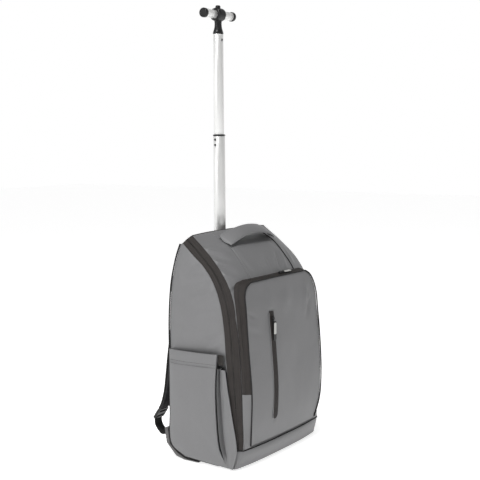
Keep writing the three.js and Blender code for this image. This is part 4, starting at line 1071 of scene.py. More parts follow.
sidePocket = {
    "bulge": 9.0,
    "stand": 2.9,
    "hem": 26.0,
    "hemHigh": 0.9,
    "hemDip": 1.2,
    "frontRoll": 2.6,
    "rows": 110,
    "columns": 60,
    "softness": 0.7,
    "stitch": (2.4, 0.6, 0.5),
    "stitchGap": 3.4,
}
sidePocketRows = [  # place of the front edge in depth, swell, how far forward the fold is sewn on
    (-0.370, 0.10, 0.022),
    (-0.262, 0.60, 0.060),
    (-0.227, 1.00, 0.040),
    (-0.221, 1.00, 0.012),
    (-0.249, 0.80, 0.0),
]
hemRow = float(len(sidePocketRows) - 1)


def sidePocketValue(column, s):
    return smoothNumber([row[column] for row in sidePocketRows], s)


def pocketFrontEdge(s):
    out = -halfWidth - 1.5 - sidePocket["bulge"] * 0.5 * sidePocketValue(1, s)
    return np.stack([out, bag["depth"] * sidePocketValue(0, s), curve(rearTable, s)[..., 2]], -1)


def sidePocketSurface(s, t):
    front = pocketFrontEdge(s)
    rear = curve(backTable, s) + np.array([-sidePocket["stand"], -0.3, 0])
    point = front * (1 - t[..., None]) + rear * t[..., None]
    point[..., 0] -= sidePocket["bulge"] * sidePocketValue(1, s) * 0.8 * (1 - np.abs(2 * t - 1) ** 3)
    return point


def foldSurface(s, t):
    front, rear = pocketFrontEdge(s), curve(rearTable, s)
    sewn = np.stack([rear[..., 0] - sidePocket["stand"] - bag["wall"],
                     rear[..., 1] + bag["wall"] - bag["depth"] * sidePocketValue(2, s), rear[..., 2]], -1)
    valley = np.stack([sewn[..., 0] + 0.6, front[..., 1] * 0.7 + sewn[..., 1] * 0.3, rear[..., 2]], -1)
    swell = (valley + sewn) / 2 + np.array([-bag["wall"], 0, 0])
    spots = np.stack([front, valley, swell, sewn], 0)
    at = np.broadcast_to(t, s.shape) * 3
    found = np.empty(s.shape + (3,))
    for place in np.ndindex(s.shape):
        found[place] = curve(spots[(slice(None), *place)], at[place])
    return found


s, t = np.meshgrid(hemRow * rimmed(sidePocket["rows"], 0.004),
                   rimmed(sidePocket["columns"], 0.008), indexing="ij")
sidePocketGrid = sidePocketSurface(s, t)
hemEdge = sidePocketGrid[..., 2].max() - sidePocket["hem"]
hemStitch = hemEdge - 2
hemLift = sidePocket["hemHigh"] * ease(sidePocketGrid[..., 2], hemStitch, hemEdge)
pocketSideFolds = [
    ((-170, -40, 200), (-172, 20, 150), 14, 1.0, 0.3), ((-170, 60, 190), (-172, 10, 120), 16, -0.9, 0.3),
    ((-170, -30, 60), (-172, 10, 110), 12, 0.9, 0.4), ((-168, 50, 60), (-172, 10, 90), 14, -0.8, 0.4),
    ((-170, -44, 226), (-170, 20, 214), 6, -0.5, 0.5),
]
inside = np.clip(np.minimum(t, 1 - t) * 8, 0, 1) * np.clip(np.minimum(s, hemRow - s) * 4, 0, 1)
sideLift = waves(sidePocketGrid, 90, 61) * 0.9 + waves(sidePocketGrid, 34, 62) * 0.2
sideLift = sideLift * sidePocket["softness"] * inside
sideLift += foldHeight(sidePocketGrid, pocketSideFolds) * inside + hemLift * np.clip(inside * 3, 0, 1)
hemLine = np.exp(-(((sidePocketGrid[..., 2] - hemStitch) / 1.3) ** 2))
sideLift -= sidePocket["hemDip"] * hemLine * np.clip(inside * 3, 0, 1)
sideLift += sidePocket["frontRoll"] * np.exp(-((t * 62 / 7) ** 2)) * ease(s, 0.3, 1.2)

fold = {"rows": 90, "columns": 24, "below": 0.5, "wall": 1.6, "valley": 16.0, "hollow": 2.0}
sf, tf = np.meshgrid((hemRow - fold["below"]) * rimmed(fold["rows"], 0.004),
                     rimmed(fold["columns"], 0.02), indexing="ij")
foldGrid = foldSurface(sf, tf)
foldFolds = [
    ((-168, -66, 185), (-168, -56, 60), 5, 0.9, 0.2), ((-167, -80, 120), (-168, -58, 70), 5, -0.9, 0.3),
    ((-168, -58, 100), (-168, -80, 50), 5, 0.8, 0.2),
]
foldLift = foldHeight(foldGrid, foldFolds) + waves(foldGrid, 40, 63) * 0.35
valley = fold["valley"] * np.exp(-(((tf - 0.12) / 0.12) ** 2)) * ease(sf, 0.15, 0.9)
foldGrid[..., 0] += valley + fold["hollow"] * ease(tf, 0.1, 0.3) * (1 - ease(tf, 0.8, 1.0))
hemRowAt = int(np.argmin(np.abs(sidePocketGrid[:, 30, 2] - hemStitch)))
for label, sign in (("left", 1.0), ("right", -1.0)):
    flip = np.array([sign, 1, 1])
    panel(f"side_pocket_{label}_cloth", sidePocketGrid * flip, "cloth",
          [f"side_pocket_{label}"], lift=sideLift)
    panel(f"side_fold_{label}_cloth", foldGrid * flip, "cloth",
          [f"side_fold_{label}"], wall=fold["wall"], lift=foldLift)
    for k, row in enumerate((hemRowAt - 1, hemRowAt + 2)):
        stitched = (sidePocketGrid + sideLift[..., None] * [-1.0, 0, 0])[row, 2:-2] * flip
        rowOfBits(f"side_pocket_{label}_stitch_{k}", stitched, np.tile([-sign, 0, 0], (len(stitched), 1)),
                  sidePocket["stitchGap"], sidePocket["stitch"], "darkThread", "bag",
                  lift=0.1)
print("side pockets ready")


# Piping of the side seams

sidePiping = {"radius": 1.7, "stand": 1.2, "lean": (0.55, 1, 1)}
rim = np.concatenate([sideSurface(np.zeros(30), np.linspace(0.3, 1, 30)),
                      curve(backTable, np.linspace(0.02, lastRow, 260))])
for label, sign in (("left", 1.0), ("right", -1.0)):
    out = unit(rim - bodyCore(rim)) * np.array(sidePiping["lean"])
    path = (rim + unit(out) * sidePiping["stand"]) * np.array([sign, 1, 1])
    tube(f"side_piping_{label}_cord", path, sidePiping["radius"], "piping", "bag",
         [f"side_piping_{label}"])
print("piping ready")


# Carry handle

handle = {
    "length": 180.0,
    "width": 40.0,
    "thick": 7.0,
    "arch": 20.0,
    "foot": 9.25,  # row of the seam table on which it is sewn
    "footSpan": 0.175,
    "gather": 1.1,
    "gatherGap": 5.2,
    "roll": 5.0,
    "rings": 110,
    "sides": 48,
}


def topLine(row, x):
    rows = np.full(len(x), row)
    return frontSurface(rows, x / np.abs(curve(frontTable, rows)[:, 0]))


def handlePath(count):
    t = np.linspace(0, 1, count)
    x = (t - 0.5) * handle["length"]
    low = topLine(handle["foot"] - handle["footSpan"], x)
    high = topLine(handle["foot"] + handle["footSpan"], x)
    slope = high - low
    slope[:, 0] = 0
    slope = unit(slope)
    out = np.stack([0 * x, -slope[:, 2], slope[:, 1]], -1)
    middle = np.sin(t * math.pi)
    thick = handle["thick"] * (0.55 + 0.75 * middle)
    fullness = np.interp(t, [0.5, 0.7], [0.8, 0.55])
    lift = handle["arch"] * np.maximum(middle, 1e-6) ** fullness + thick / 2 + 0.15
    return t, (low + high) / 2 + out * lift[:, None], slope, out, handle["width"] * (1 - 0.22 * middle), thick


t, centre, wide, out, width, thick = handlePath(handle["rings"])
run = unit(np.gradient(centre, axis=0))
wide = unit(wide - run * np.sum(wide * run, axis=1, keepdims=True))
out = np.cross(run, wide)
out *= np.sign(out[len(out) // 2, 2])
angle = fullTurn(handle["sides"])
sectionX = squared(np.cos(angle), 0.55)
sectionY = squared(np.sin(angle), 0.8)
gather = np.exp(-(((t - 0.56) / 0.16) ** 2))[:, None] * np.clip(-sectionX, 0, 1)[None, :] ** 2
ripple = np.sin(t * handle["length"] / handle["gatherGap"] * 2 * math.pi)[:, None] * gather * handle["gather"]
roll = np.sin(t * math.pi)[:, None] * np.clip(-sectionX[None, :], 0, 1) * handle["roll"]
sideways = sectionX[None, :] * (width[:, None] / 2 - ripple)
outwards = sectionY[None, :] * (thick[:, None] / 2) + ripple * 0.6 - roll * 0.5
rings = centre[:, None] + wide[:, None] * sideways[..., None] + out[:, None] * outwards[..., None]
ends = np.clip(np.minimum(t, 1 - t) / 0.02, 0.25, 1)[:, None, None]
rings = centre[:, None] + (rings - centre[:, None]) * ends
carry = lofted("carry_handle_pad", rings, "cloth", "bag", ["carry_handle"])
print("handle ready")


# Plates, boxes and turned pieces

def applied(made):
    # the piece's modifiers worked into its mesh
    graph = bpy.context.evaluated_depsgraph_get()
    mesh = bpy.data.meshes.new_from_object(made.evaluated_get(graph))
    made.modifiers.clear()
    made.data = mesh
    return made


def roundedOutline(width, height, corner, steps=6):
    points = []
    for k, (cx, cy) in enumerate(((1, 1), (-1, 1), (-1, -1), (1, -1))):
        for i in range(steps + 1):
            angle = (k + i / steps) * math.pi / 2
            x = cx * (width / 2 - corner) + corner * math.cos(angle)
            points.append((x, cy * (height / 2 - corner) + corner * math.sin(angle)))
    return points


def platePiece(name, outline, holes, thick, bevel, centre, across, upward, finish, body, replaced=()):
    # a flat piece with rounded edges: outline and holes in its own plane, thick in millimetres
    drawn = bpy.data.curves.new(name, "CURVE")
    drawn.dimensions = "2D"
    drawn.fill_mode = "BOTH"
    drawn.extrude = max(thick / 2 - bevel, 0.01)
    drawn.bevel_depth = bevel
    drawn.bevel_resolution = 2
    drawn.offset = -bevel
    for ring in (outline, *holes):
        spline = drawn.splines.new("POLY")
        spline.points.add(len(ring) - 1)
        spline.points.foreach_set("co", [v for x, y in ring for v in (x, y, 0, 1)])
        spline.use_cyclic_u = True
    shaped = bpy.data.objects.new(name, drawn)
    scene.collection.objects.link(shaped)
    across, upward = Vector(across).normalized(), Vector(upward).normalized()
    out = across.cross(upward)
    turn = Matrix((across, upward, out)).transposed()
    bpy.context.view_layer.update()
    mesh = bpy.data.meshes.new_from_object(shaped.evaluated_get(bpy.context.evaluated_depsgraph_get()))
    bpy.data.objects.remove(shaped)
    work = bmesh.new()
    work.from_mesh(mesh)
    bmesh.ops.remove_doubles(work, verts=work.verts, dist=0.01)
    points = [Vector(centre) + turn @ v.co for v in work.verts]
    faces = [[v.index for v in f.verts] for f in work.faces]
    work.free()
    made = addObject(name, points, faces, finish, body, replaced)
    made.modifiers.new("weighted", "WEIGHTED_NORMAL").keep_sharp = True
    return applied(made)


def turned(name, profile, centre, axis, finish, body, slot, replaced=(), sides=48):
    # a closed body of revolution: profile of (radius, place along the axis)
    axis = unit(np.array(axis, float))
    first = unit(np.cross(axis, [0.3, 0.2, 1.0] if abs(axis[2]) < 0.9 else [1.0, 0, 0]))
    second = np.cross(axis, first)
    angle = fullTurn(sides)[:, None]
    around = np.cos(angle) * first + np.sin(angle) * second
    rings = [np.array(centre) + axis * along + radius * around for radius, along in profile]
    return lofted(name, rings, finish, body, replaced)


def ovalRing(half, z, sides=72):
    angle = fullTurn(sides)
    return np.stack([half[0] * np.cos(angle), poleDepth + half[1] * np.sin(angle), z + 0 * angle], -1)


def hollowLoft(name, outer, inner, finish, body, replaced=()):
    # a tube with a wall: its rings go up the outside and down the inside
    rings = np.array([ovalRing(*ring) for ring in outer] + [ovalRing(*ring) for ring in reversed(inner)])
    return addObject(name, rings, loopedFaces(*rings.shape[:2]), finish, body, replaced)


def softened(made, voxel, rounds):
    # one moulded skin over a piece made of several bodies
    made.modifiers.new("skin", "REMESH").voxel_size = voxel * mm
    smooth = made.modifiers.new("smooth", "SMOOTH")
    smooth.factor = 0.5
    smooth.iterations = rounds
    applied(made)
    made.data.polygons.foreach_set("use_smooth", [True] * len(made.data.polygons))
    return made


# Upright zip with its slider and pull tab

def zipNarrowing(height):
    # the share of its width that the tape keeps at its round lower end
    foot = np.clip(frontZip["low"] + frontZip["foot"] - height, 0, frontZip["foot"])
    return np.sqrt(np.clip(1 - (foot / (frontZip["foot"] + 0.2)) ** 2, 0.02, 1))


z = np.linspace(frontZip["low"], frontZip["high"], 120)
across = np.linspace(-1, 1, 15)
half = frontZip["width"] / 2 * zipNarrowing(z)
zipX = frontZip["x"] + half[:, None] * across[None, :]
zipY = np.broadcast_to((pocketFrontAt(frontZip["x"], z) - 0.6 - frontZip["tape"])[:, None], zipX.shape)
zipGrid = np.stack([zipX, zipY, np.broadcast_to(z[:, None], zipX.shape)], -1)
zipCover = 0.45 * np.exp(-(((np.abs(across) - 0.30) / 0.10) ** 2)) - 0.4 * (np.abs(across) > 0.9)
panel("front_zip_tape", zipGrid, "tape", ["front_zip"], wall=frontZip["tape"],
      lift=np.broadcast_to(zipCover, zipX.shape), core=zipGrid + [0, 30.0, 0])
zipMiddle = zipGrid[4:-1, 7]
rowOfBits("front_zip_coil", zipMiddle, np.tile([0, -1.0, 0], (len(zipMiddle), 1)), 1.7, (2.0, 0.95, 1.1),
          "coil", "bag", lift=0.1, turned=True)
lipPath = []
for sign, runs in ((-1, z[::-1]), (1, z)):
    for height in runs[::3]:
        x = frontZip["x"] + sign * (frontZip["width"] / 2 * zipNarrowing(height) + 0.5)
        lipPath.append((x, float(pocketFrontAt(x, height)) - 0.9, height))
tube("front_zip_lip", np.array(lipPath), 1.0, "cloth", "bag")

sliderBox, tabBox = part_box("front_zip_slider"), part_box("front_zip_puller")


def middleOf(box):
    found = (np.array(box[0]) + np.array(box[1])) / 2 / mm
    found[1] -= depthShift / mm
    return found, (np.array(box[1]) - np.array(box[0])) / mm


def zipSlider(name, centre, along, out, size, replaced=()):
    # body with a waist, two flanges and a bridge for the tab
    along, out = unit(np.array(along, float)), unit(np.array(out, float))
    side = np.cross(along, out)
    angle = fullTurn(24)
    rings = []
    for t in np.linspace(0, 1, 14):
        swell = 0.72 + 0.28 * math.cos((t - 0.15) * 2 * math.pi) ** 2
        end = min(1.0, 5 * min(t, 1 - t) + 0.35)
        x = squared(np.cos(angle), 0.6) * size[0] / 2 * swell * end
        y = squared(np.sin(angle), 0.7) * size[2] / 2 * end
        rings.append(centre + along * (t - 0.5) * size[1] + side * x[:, None] + out * y[:, None])
    lofted(name, np.array(rings), "black", "bag", replaced)
    arch = [centre + along * size[1] * 0.36 * math.cos(a) + out * (size[2] * 0.45 + 1.5 * math.sin(a))
            for a in np.linspace(0, math.pi, 12)]
    tube(f"{name}_bridge", np.array(arch), 0.6, "black", "bag", sides=8)


centre, size = middleOf(sliderBox)
zipSlider("front_zip_slider_body", centre, (0, 0, 1), (0, -1, 0), (size[0], size[2], size[1]),
          ["front_zip_slider"])
centre, size = middleOf(tabBox)
pullHole = roundedOutline(size[0] * 0.45, 3.4, 1.2)
platePiece("front_zip_pull", roundedOutline(size[0] * 0.96, size[2], 2.6), [pullHole], size[1], 0.35, centre,
           (1, 0, 0), (0, 0, 1), "black", "front_zip_puller", ["front_zip_puller"])
face = centre + np.array([0, -size[1] / 2 - 0.2, 5.0])
platePiece("front_zip_pull_face", roundedOutline(size[0] * 0.78, 25, 2.0), [], 0.9, 0.3, face,
           (1, 0, 0), (0, 0, 1), "pull", "front_zip_puller")
print("front zip ready")


# Sliders over the front pocket

centre, size = middleOf(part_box("pocket_slider"))
for k, offset in enumerate((-0.27, 0.27)):
    zipSlider(f"pocket_slider_{'ab'[k]}", centre + np.array([offset * size[0], 0, 0]), (1, 0, 0), (0, 0, 1),
              (size[1] * 0.95, size[0] * 0.44, size[2]), ["pocket_slider"] if k == 0 else [])
centre, size = middleOf(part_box("pocket_puller"))
platePiece("pocket_pull", roundedOutline(size[0], size[1], 2.4), [], size[2], 0.35, centre,
           (1, 0, 0), (0, 1, 0), "pull", "pocket_puller", ["pocket_puller"])


# Elastic over the fold

elastic = {"rows": 20, "columns": 30, "wall": 1.2, "pleat": 0.35, "pleatGap": 4.2}
for label, sign in (("left", 1.0), ("right", -1.0)):
    low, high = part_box(f"side_elastic_{label}")
    ys = np.linspace(low.y / mm, high.y / mm, elastic["columns"]) - depthShift / mm
    grid = np.empty((elastic["rows"], elastic["columns"], 3))
    front, rear = (high.x, low.x) if sign < 0 else (low.x, high.x)
    grid[..., 0] = (front + (rear - front) * np.linspace(0, 1, elastic["columns"])[None, :]) / mm
    grid[..., 1] = ys[None, :]
    grid[..., 2] = np.linspace(low.z / mm, high.z / mm, elastic["rows"])[:, None]
    pleat = elastic["pleat"] * np.sin(ys / elastic["pleatGap"] * 2 * math.pi)
    panel(f"side_elastic_{label}_band", grid, "elastic", [f"side_elastic_{label}"],
          wall=elastic["wall"], lift=np.broadcast_to(pleat, grid.shape[:2]))
print("elastic ready")


# Back pads and shoulder straps

pad = {
    "wide": 136.0,
    "gap": 26.0,
    "thick": 11.0,
    "low": 130.0,
    "high": 412.0,
    "rings": 84,
    "sides": 64,
    "pressure": 3.0,
    "swell": 4.0,  # how far the filling may push a point
    "channel": 2.6,
    "channelFrom": 150.0,
    "channelGap": 62.0,
    "channelWide": 3.2,
    "fill": 0.7,
}
strap = {
    "wide": 62.0,
    "thick": 13.0,
    "rings": 130,
    "sides": 40,
    "pressure": 3.0,
    "swell": 3.0,
    "binding": 1.7,
    "lockRow": 8.5,  # row of the table from which the lock takes its slant
    "fill": 0.7,
}
lock = {
    "wide": 34.0,
    "long": 30.0,
    "corner": 5.0,
    "thick": 6.0,
    "bevel": 0.8,
    "slot": (26, 5.2, 1.0),
    "slotAt": (-0.26, 0.2),
    "room": 0.9,
}
webbing = {
    "wide": 25.0,
    "wall": 1.5,
    "rib": 0.25,
    "room": 1.3,
    "foot": (112.0, 46.5),  # depth and height of its sewn end
}
backFace = backPlane + 0.3
strapRows = [  # out, back, up, size
    (0.28, 0.55, 0.885, 0.80),
    (0.30, 1.38, 0.850, 0.95),
    (0.36, 1.62, 0.785, 1.00),
    (0.49, 1.62, 0.700, 1.00),
    (0.61, 1.62, 0.580, 1.00),
    (0.70, 1.62, 0.460, 0.96),
    (0.75, 1.75, 0.370, 0.88),
    (0.79, 2.05, 0.290, 0.78),
    (0.82, 2.75, 0.232, 0.68),
    (0.825, 3.50, 0.205, 0.62),
]


def padRings(centre, wide, width, thick, sides, square, flat):
    run = unit(np.gradient(centre, axis=0))
    wide = unit(wide - run * np.sum(wide * run, axis=1, keepdims=True))
    out = np.cross(run, wide)
    angle = fullTurn(sides)
    x = squared(np.cos(angle), square)[None, :, None] * width[:, None, None] / 2
    y = squared(np.sin(angle), flat)[None, :, None] * thick[:, None, None] / 2
    return centre[:, None] + wide[:, None] * x + out[:, None] * y


filling = {
    "quality": 5,
    "mass": 0.3,
    "tension_stiffness": 15,
    "compression_stiffness": 15,
    "bending_stiffness": 0.3,
}
fillingFrames = 16


def inflated(made, pressure, cap):
    # cloth filled by pressure, with every point kept within cap of where it was
    before = np.empty(len(made.data.vertices) * 3, np.float32)
    made.data.vertices.foreach_get("co", before)
    fabric = made.modifiers.new("cloth", "CLOTH")
    for key, value in filling.items():
        setattr(fabric.settings, key, value)
    fabric.settings.use_pressure = True
    fabric.settings.uniform_pressure_force = pressure
    fabric.settings.effector_weights.gravity = 0
    fabric.collision_settings.use_collision = False
    fabric.point_cache.frame_end = fillingFrames
    for frameNumber in range(1, fillingFrames + 1):
        scene.frame_set(frameNumber)
    graph = bpy.context.evaluated_depsgraph_get()
    held = made.evaluated_get(graph).to_mesh()
    after = np.empty_like(before)
    held.vertices.foreach_get("co", after)
    made.evaluated_get(graph).to_mesh_clear()
    made.modifiers.clear()
    scene.frame_set(1)
    move = (after - before).reshape(-1, 3)
    far = np.linalg.norm(move, axis=1, keepdims=True)
    move *= np.minimum(1, cap * mm / np.maximum(far, 1e-9))
    made.data.vertices.foreach_set("co", (before.reshape(-1, 3) + move).ravel())
    made.data.update()
    return made


def pressed(made, depth):
    # moves each point along its normal by depth, which is given the points in the source's millimetres
    count = len(made.data.vertices)
    points, normals = np.empty(count * 3), np.empty(count * 3)
    made.data.vertices.foreach_get("co", points)
    made.data.vertices.foreach_get("normal", normals)
    points, normals = points.reshape(-1, 3), normals.reshape(-1, 3)
    source = points / mm
    source[:, 1] -= depthShift / mm
    made.data.vertices.foreach_set("co", (points + normals * (depth(source, normals) * mm)[:, None]).ravel())
    made.data.update()
    return made


def padChannels(p, n):
    facing = np.clip(n[:, 1] * 1.4, 0, 1)
    half = pad["channelGap"] / 2
    rows = np.abs((p[:, 2] - pad["channelFrom"]) % pad["channelGap"] - half)
    return -pad["channel"] * np.exp(-(((half - rows) / pad["channelWide"]) ** 2)) * facing


def strapLine(sign, at):
    spots = [(sign * halfWidth * out, backFace + pad["thick"] * away, bag["height"] * up)
             for out, away, up, _ in strapRows]
    return curve(spots, at)


for label, sign in (("left", -1.0), ("right", 1.0)):
    up = np.linspace(0, 1, pad["rings"])
    spread = np.interp(up, [0, 0.05, 0.35, 0.65, 0.95, 1], [0, 1, 2, 3, 4, 5])
    size = smoothNumber([0.72, 0.97, 1, 1, 0.97, 0.72], spread)
    end = np.clip(np.minimum(up, 1 - up) * 26, 0.08, 1) ** 0.5
    middle = np.stack([sign * (pad["wide"] + pad["gap"]) / 2 + 0 * up, backFace + pad["thick"] / 2 + 0 * up,
                       pad["low"] + (pad["high"] - pad["low"]) * up], -1)
    corner = 1 - 0.16 * (1 - np.clip(np.minimum(up, 1 - up) * 12, 0, 1)) ** 2
    width = pad["wide"] * 0.965 * (0.8 + 0.2 * size) * corner
    rings = padRings(middle, np.tile([1.0, 0, 0], (pad["rings"], 1)), width, pad["thick"] * 0.86 * size * end,
                     pad["sides"], 0.35, 0.6)
    made = lofted(f"back_pad_{label}_foam", rings, "mesh", "bag", [f"back_pad_{label}"])
    inflated(made, pad["pressure"], pad["swell"])
    pressed(made, padChannels)

    at = np.linspace(0, len(strapRows) - 1, strap["rings"])
    spots = strapLine(sign, at)
    size = smoothNumber([row[3] for row in strapRows], at)
    ends = np.clip(np.minimum(at, at[-1] - at) * 4, 0.15, 1) ** 0.6
    rings = padRings(spots, np.tile([1.0, 0, 0], (strap["rings"], 1)), strap["wide"] * 0.97 * size,
                     strap["thick"] * 0.9 * size**2 * ends, strap["sides"], 0.45, 0.7)
    made = lofted(f"shoulder_strap_{label}_foam", rings, "mesh", "bag",
                  [f"shoulder_strap_{label}"])
    inflated(made, strap["pressure"], strap["swell"])
    for edge, share in (("inner", -1), ("outer", 1)):
        path = spots[2:-2] + np.array([share * 1.0, 0, 0]) * (strap["wide"] * 0.955 * size[2:-2, None] / 2)
        tube(f"shoulder_strap_{label}_{edge}_binding", path[::2], strap["binding"],
             "webbing", "bag")

    slant = spots[-1] - strapLine(sign, np.array(strap["lockRow"]))
    slant[0] = 0
    slant = unit(slant)
    lockPlace = spots[-1] + slant * (lock["long"] / 2 + lock["room"])
    slots = [[(x, y + lock["long"] * share) for x, y in roundedOutline(*lock["slot"])]
             for share in lock["slotAt"]]
    edge = roundedOutline(lock["wide"], lock["long"], lock["corner"])
    platePiece(f"ladder_lock_{label}_frame", edge, slots, lock["thick"], lock["bevel"], lockPlace,
               (1, 0, 0), tuple(slant), "black", "bag", [f"ladder_lock_{label}"])
    start = lockPlace + slant * (lock["long"] / 2 + webbing["room"])
    stops = [start, start + [0, -2, -14], start + [0, -20, -32], (start[0], *webbing["foot"])]
    line = curve(stops, np.linspace(0, 3, 60))
    across = np.linspace(-webbing["wide"] / 2, webbing["wide"] / 2, 13)
    webGrid = line[:, None] + np.stack([across, 0 * across, 0 * across], -1)[None]
    webLift = webbing["rib"] * np.cos(across / webbing["wide"] * math.pi * 4)
    panel(f"strap_webbing_{label}_band", webGrid, "webbing", [f"strap_webbing_{label}"],
          wall=webbing["wall"], lift=np.broadcast_to(webLift, webGrid.shape[:2]),
          core=webGrid + [0, -10.0, 6.0])
print("pads and straps ready")


# Ledge behind the ridge, and wheel wells in the base

def facedOut(made):
    work = bmesh.new()
    work.from_mesh(made.data)
    bmesh.ops.recalc_face_normals(work, faces=work.faces)
    work.to_mesh(made.data)
    work.free()
    return made


def carve(made, cutters):
    facedOut(made)
    for cutter in cutters:
        cut = made.modifiers.new("cut", "BOOLEAN")
        cut.object = cutter
        cut.operation = "DIFFERENCE"
        cut.solver = "EXACT"
        cut.use_self = True
    applied(made)
    for cutter in cutters:
        bpy.data.objects.remove(cutter)
    return made


def cutterFrom(name, rings):
    return facedOut(addObject(name, rings, cappedFaces(*rings.shape[:2]), "black", "bag"))


def ovalCutter(name, half, low, high, sides):
    return cutterFrom(name, np.array([ovalRing(half, low, sides), ovalRing(half, high, sides)]))


u, share = np.meshgrid(rimmed(24, 0.02), 2 * rimmed(90, 0.004) - 1, indexing="ij")
ledgeBack = backSurface(np.full_like(share[0], lastRow), share[0])
ledgeGrid = ledgeFront(share[0])[None] * (1 - u[..., None]) + ledgeBack[None] * u[..., None]
ledge = panel("rear_ledge_cloth", ledgeGrid, "cloth", ["rear_ledge"],
              lift=waves(ledgeGrid, 60, 71) * 0.3 - 0.3)
carve(ledge, [ovalCutter("hole", (18.2, 14.9), 440, 560, 48)])

wheel = {"radius": 30.0, "half": 13.5, "place": 135.0, "depth": 58.0, "wellRadius": 36.6, "wellHalf": 23.1}


def wheelRing(radius, sides):
    angle = fullTurn(sides)
    return np.stack([0 * angle, wheel["depth"] + radius * np.cos(angle),
                     wheel["radius"] + radius * np.sin(angle)], -1)


wells = []
for sign in (-1.0, 1.0):
    ring = wheelRing(wheel["wellRadius"], 56)
    ends = [ring + [sign * wheel["place"] + way * wheel["wellHalf"], 0, 0] for way in (-1, 1)]
    wells.append(cutterFrom("well", np.array(ends)))
carve(base, wells)
print("ledge and wells cut")


# Trolley

pole = {
    "lower": (15.5, 12.2),
    "upper": (13.5, 10.2),
    "wall": 1.5,
    "edge": 0.5,
    "lowerEnds": (436.0, 711.0),
    "upperEnds": (659.0, 939.0),
    "ringEnds": (711.3, 714.3),
}
collar = {"flange": (23.6, 20.3), "sleeve": (17.6, 14.3), "hole": (16.0, 12.7), "high": 4.0}


def grown(half, amount):
    return half[0] + amount, half[1] + amount


def poleStage(stage):
    half, edge, name = pole[stage], pole["edge"], f"{stage}_pole"
    low, high = pole[f"{stage}Ends"]
    outer = [(grown(half, -edge), low), (half, low + edge), (half, (low + high) / 2), (half, high - edge),
             (grown(half, -edge), high)]
    inner = [(grown(half, -pole["wall"]), low), (grown(half, -pole["wall"]), high)]
    hollowLoft(f"{name}_tube", outer, inner, "metal", name, [name])


poleStage("lower")
poleStage("upper")
rimOut = [((13.3, 10.0), 935.6), ((13.9, 10.6), 936.1), ((13.9, 10.6), 938.4), ((13.4, 10.1), 938.9)]
rimIn = [((13.2, 9.9), 935.6), ((13.2, 9.9), 938.9)]
hollowLoft("upper_pole_rim", rimOut, rimIn, "metal", "upper_pole")


def collarRing(name, half, hole, low, high, edge, body, node):
    lead = edge * 0.3
    outer = [(grown(half, -edge), low), (grown(half, -lead), low + lead), (half, low + edge),
             (half, high - edge), (grown(half, -lead), high - lead), (grown(half, -edge), high)]
    replaced = [node] if node else []
    hollowLoft(name, outer, [(hole, low), (hole, high)], "black", body, replaced)


collarRing("pole_ring_band", grown(pole["lower"], 0.8), grown(pole["upper"], 0.5), *pole["ringEnds"], 0.6,
           "lower_pole", "pole_ring")
low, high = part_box("pole_collar")
flange = high.z / mm - collar["high"]
collarRing("pole_collar_flange", collar["flange"], collar["hole"], flange, high.z / mm, 1.2,
           "bag", "pole_collar")
collarRing("pole_collar_sleeve", collar["sleeve"], collar["hole"], low.z / mm, flange + 0.4, 0.4,
           "bag", None)

rivet = [(0.01, -0.5), (2.5, -0.5), (2.6, 0.0), (2.2, 0.38), (1.2, 0.5), (0.9, 0.3), (0.01, 0.3)]
rivets = {
    "high": ("lower_pole", (-1, 0, 0)),
    "low": ("lower_pole", (-1, 0, 0)),
    "front": ("upper_pole", (0, -1, 0)),
}
for label, (body, axis) in rivets.items():
    centre = middleOf(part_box(f"rivet_{label}"))[0]
    turned(f"rivet_{label}_head", rivet, centre, axis, "black", body, "black_plastic", [f"rivet_{label}"], 24)
print("pole ready")


# Grip

grip = {
    "height": 982.0,
    "tube": 9.5,
    "cap": 10.6,
    "neckLow": 939.3,
    "recess": (7.5, 5.5),
    "recessLow": 5.2,
    "voxel": 0.7,
}
neck = [  # half width and half depth, height over the pole's end
    ((13.9, 10.7), 0), ((14.1, 10.8), 1.2), ((13.9, 10.6), 3.5), ((11.6, 9.0), 9), ((9.6, 8.0), 15),
    ((8.7, 7.6), 22), ((9.2, 8.0), 28), ((10.5, 9.5), 33),
]
hubHalf = [(14.8, 3), (14.8, 7), (14.5, 10.5), (13.7, 12.6), (12.2, 13.5), (10.6, 13.5), (0.01, 13.5)]
button = [
    ((0.05, 0.05), 8.5), ((6.8, 4.8), 8.5), ((7.0, 5.0), 9.0), ((7.0, 5.0), 17.5), ((6.6, 4.6), 19.4),
    ((5.2, 3.6), 20.3), ((2.5, 1.8), 20.5), ((0.05, 0.05), 20.5),
]


def gripHub():
    # neck and barrel as two bodies, joined by one skin and then cut for the button
    neckRings = np.array([ovalRing(half, grip["neckLow"] + up, 40) for half, up in neck])
    angle = fullTurn(48)
    barrel = [(r, -x) for r, x in reversed(hubHalf)] + hubHalf
    hubRings = np.array([
        np.stack([0 * angle + x, poleDepth + r * np.cos(angle), grip["height"] + r * np.sin(angle)], -1)
        for r, x in barrel
    ])
    points = np.concatenate([neckRings.reshape(-1, 3), hubRings.reshape(-1, 3)])
    faces = cappedFaces(len(neck), 40) + cappedFaces(len(barrel), 48, len(neck) * 40)
    hub = addObject("grip_hub_moulding", points, faces, "black", "upper_pole", ["grip_hub"])
    softened(hub, grip["voxel"], 4)
    low = grip["height"] + grip["recessLow"]
    carve(hub, [ovalCutter("recess", grip["recess"], low, grip["height"] + 25, 40)])


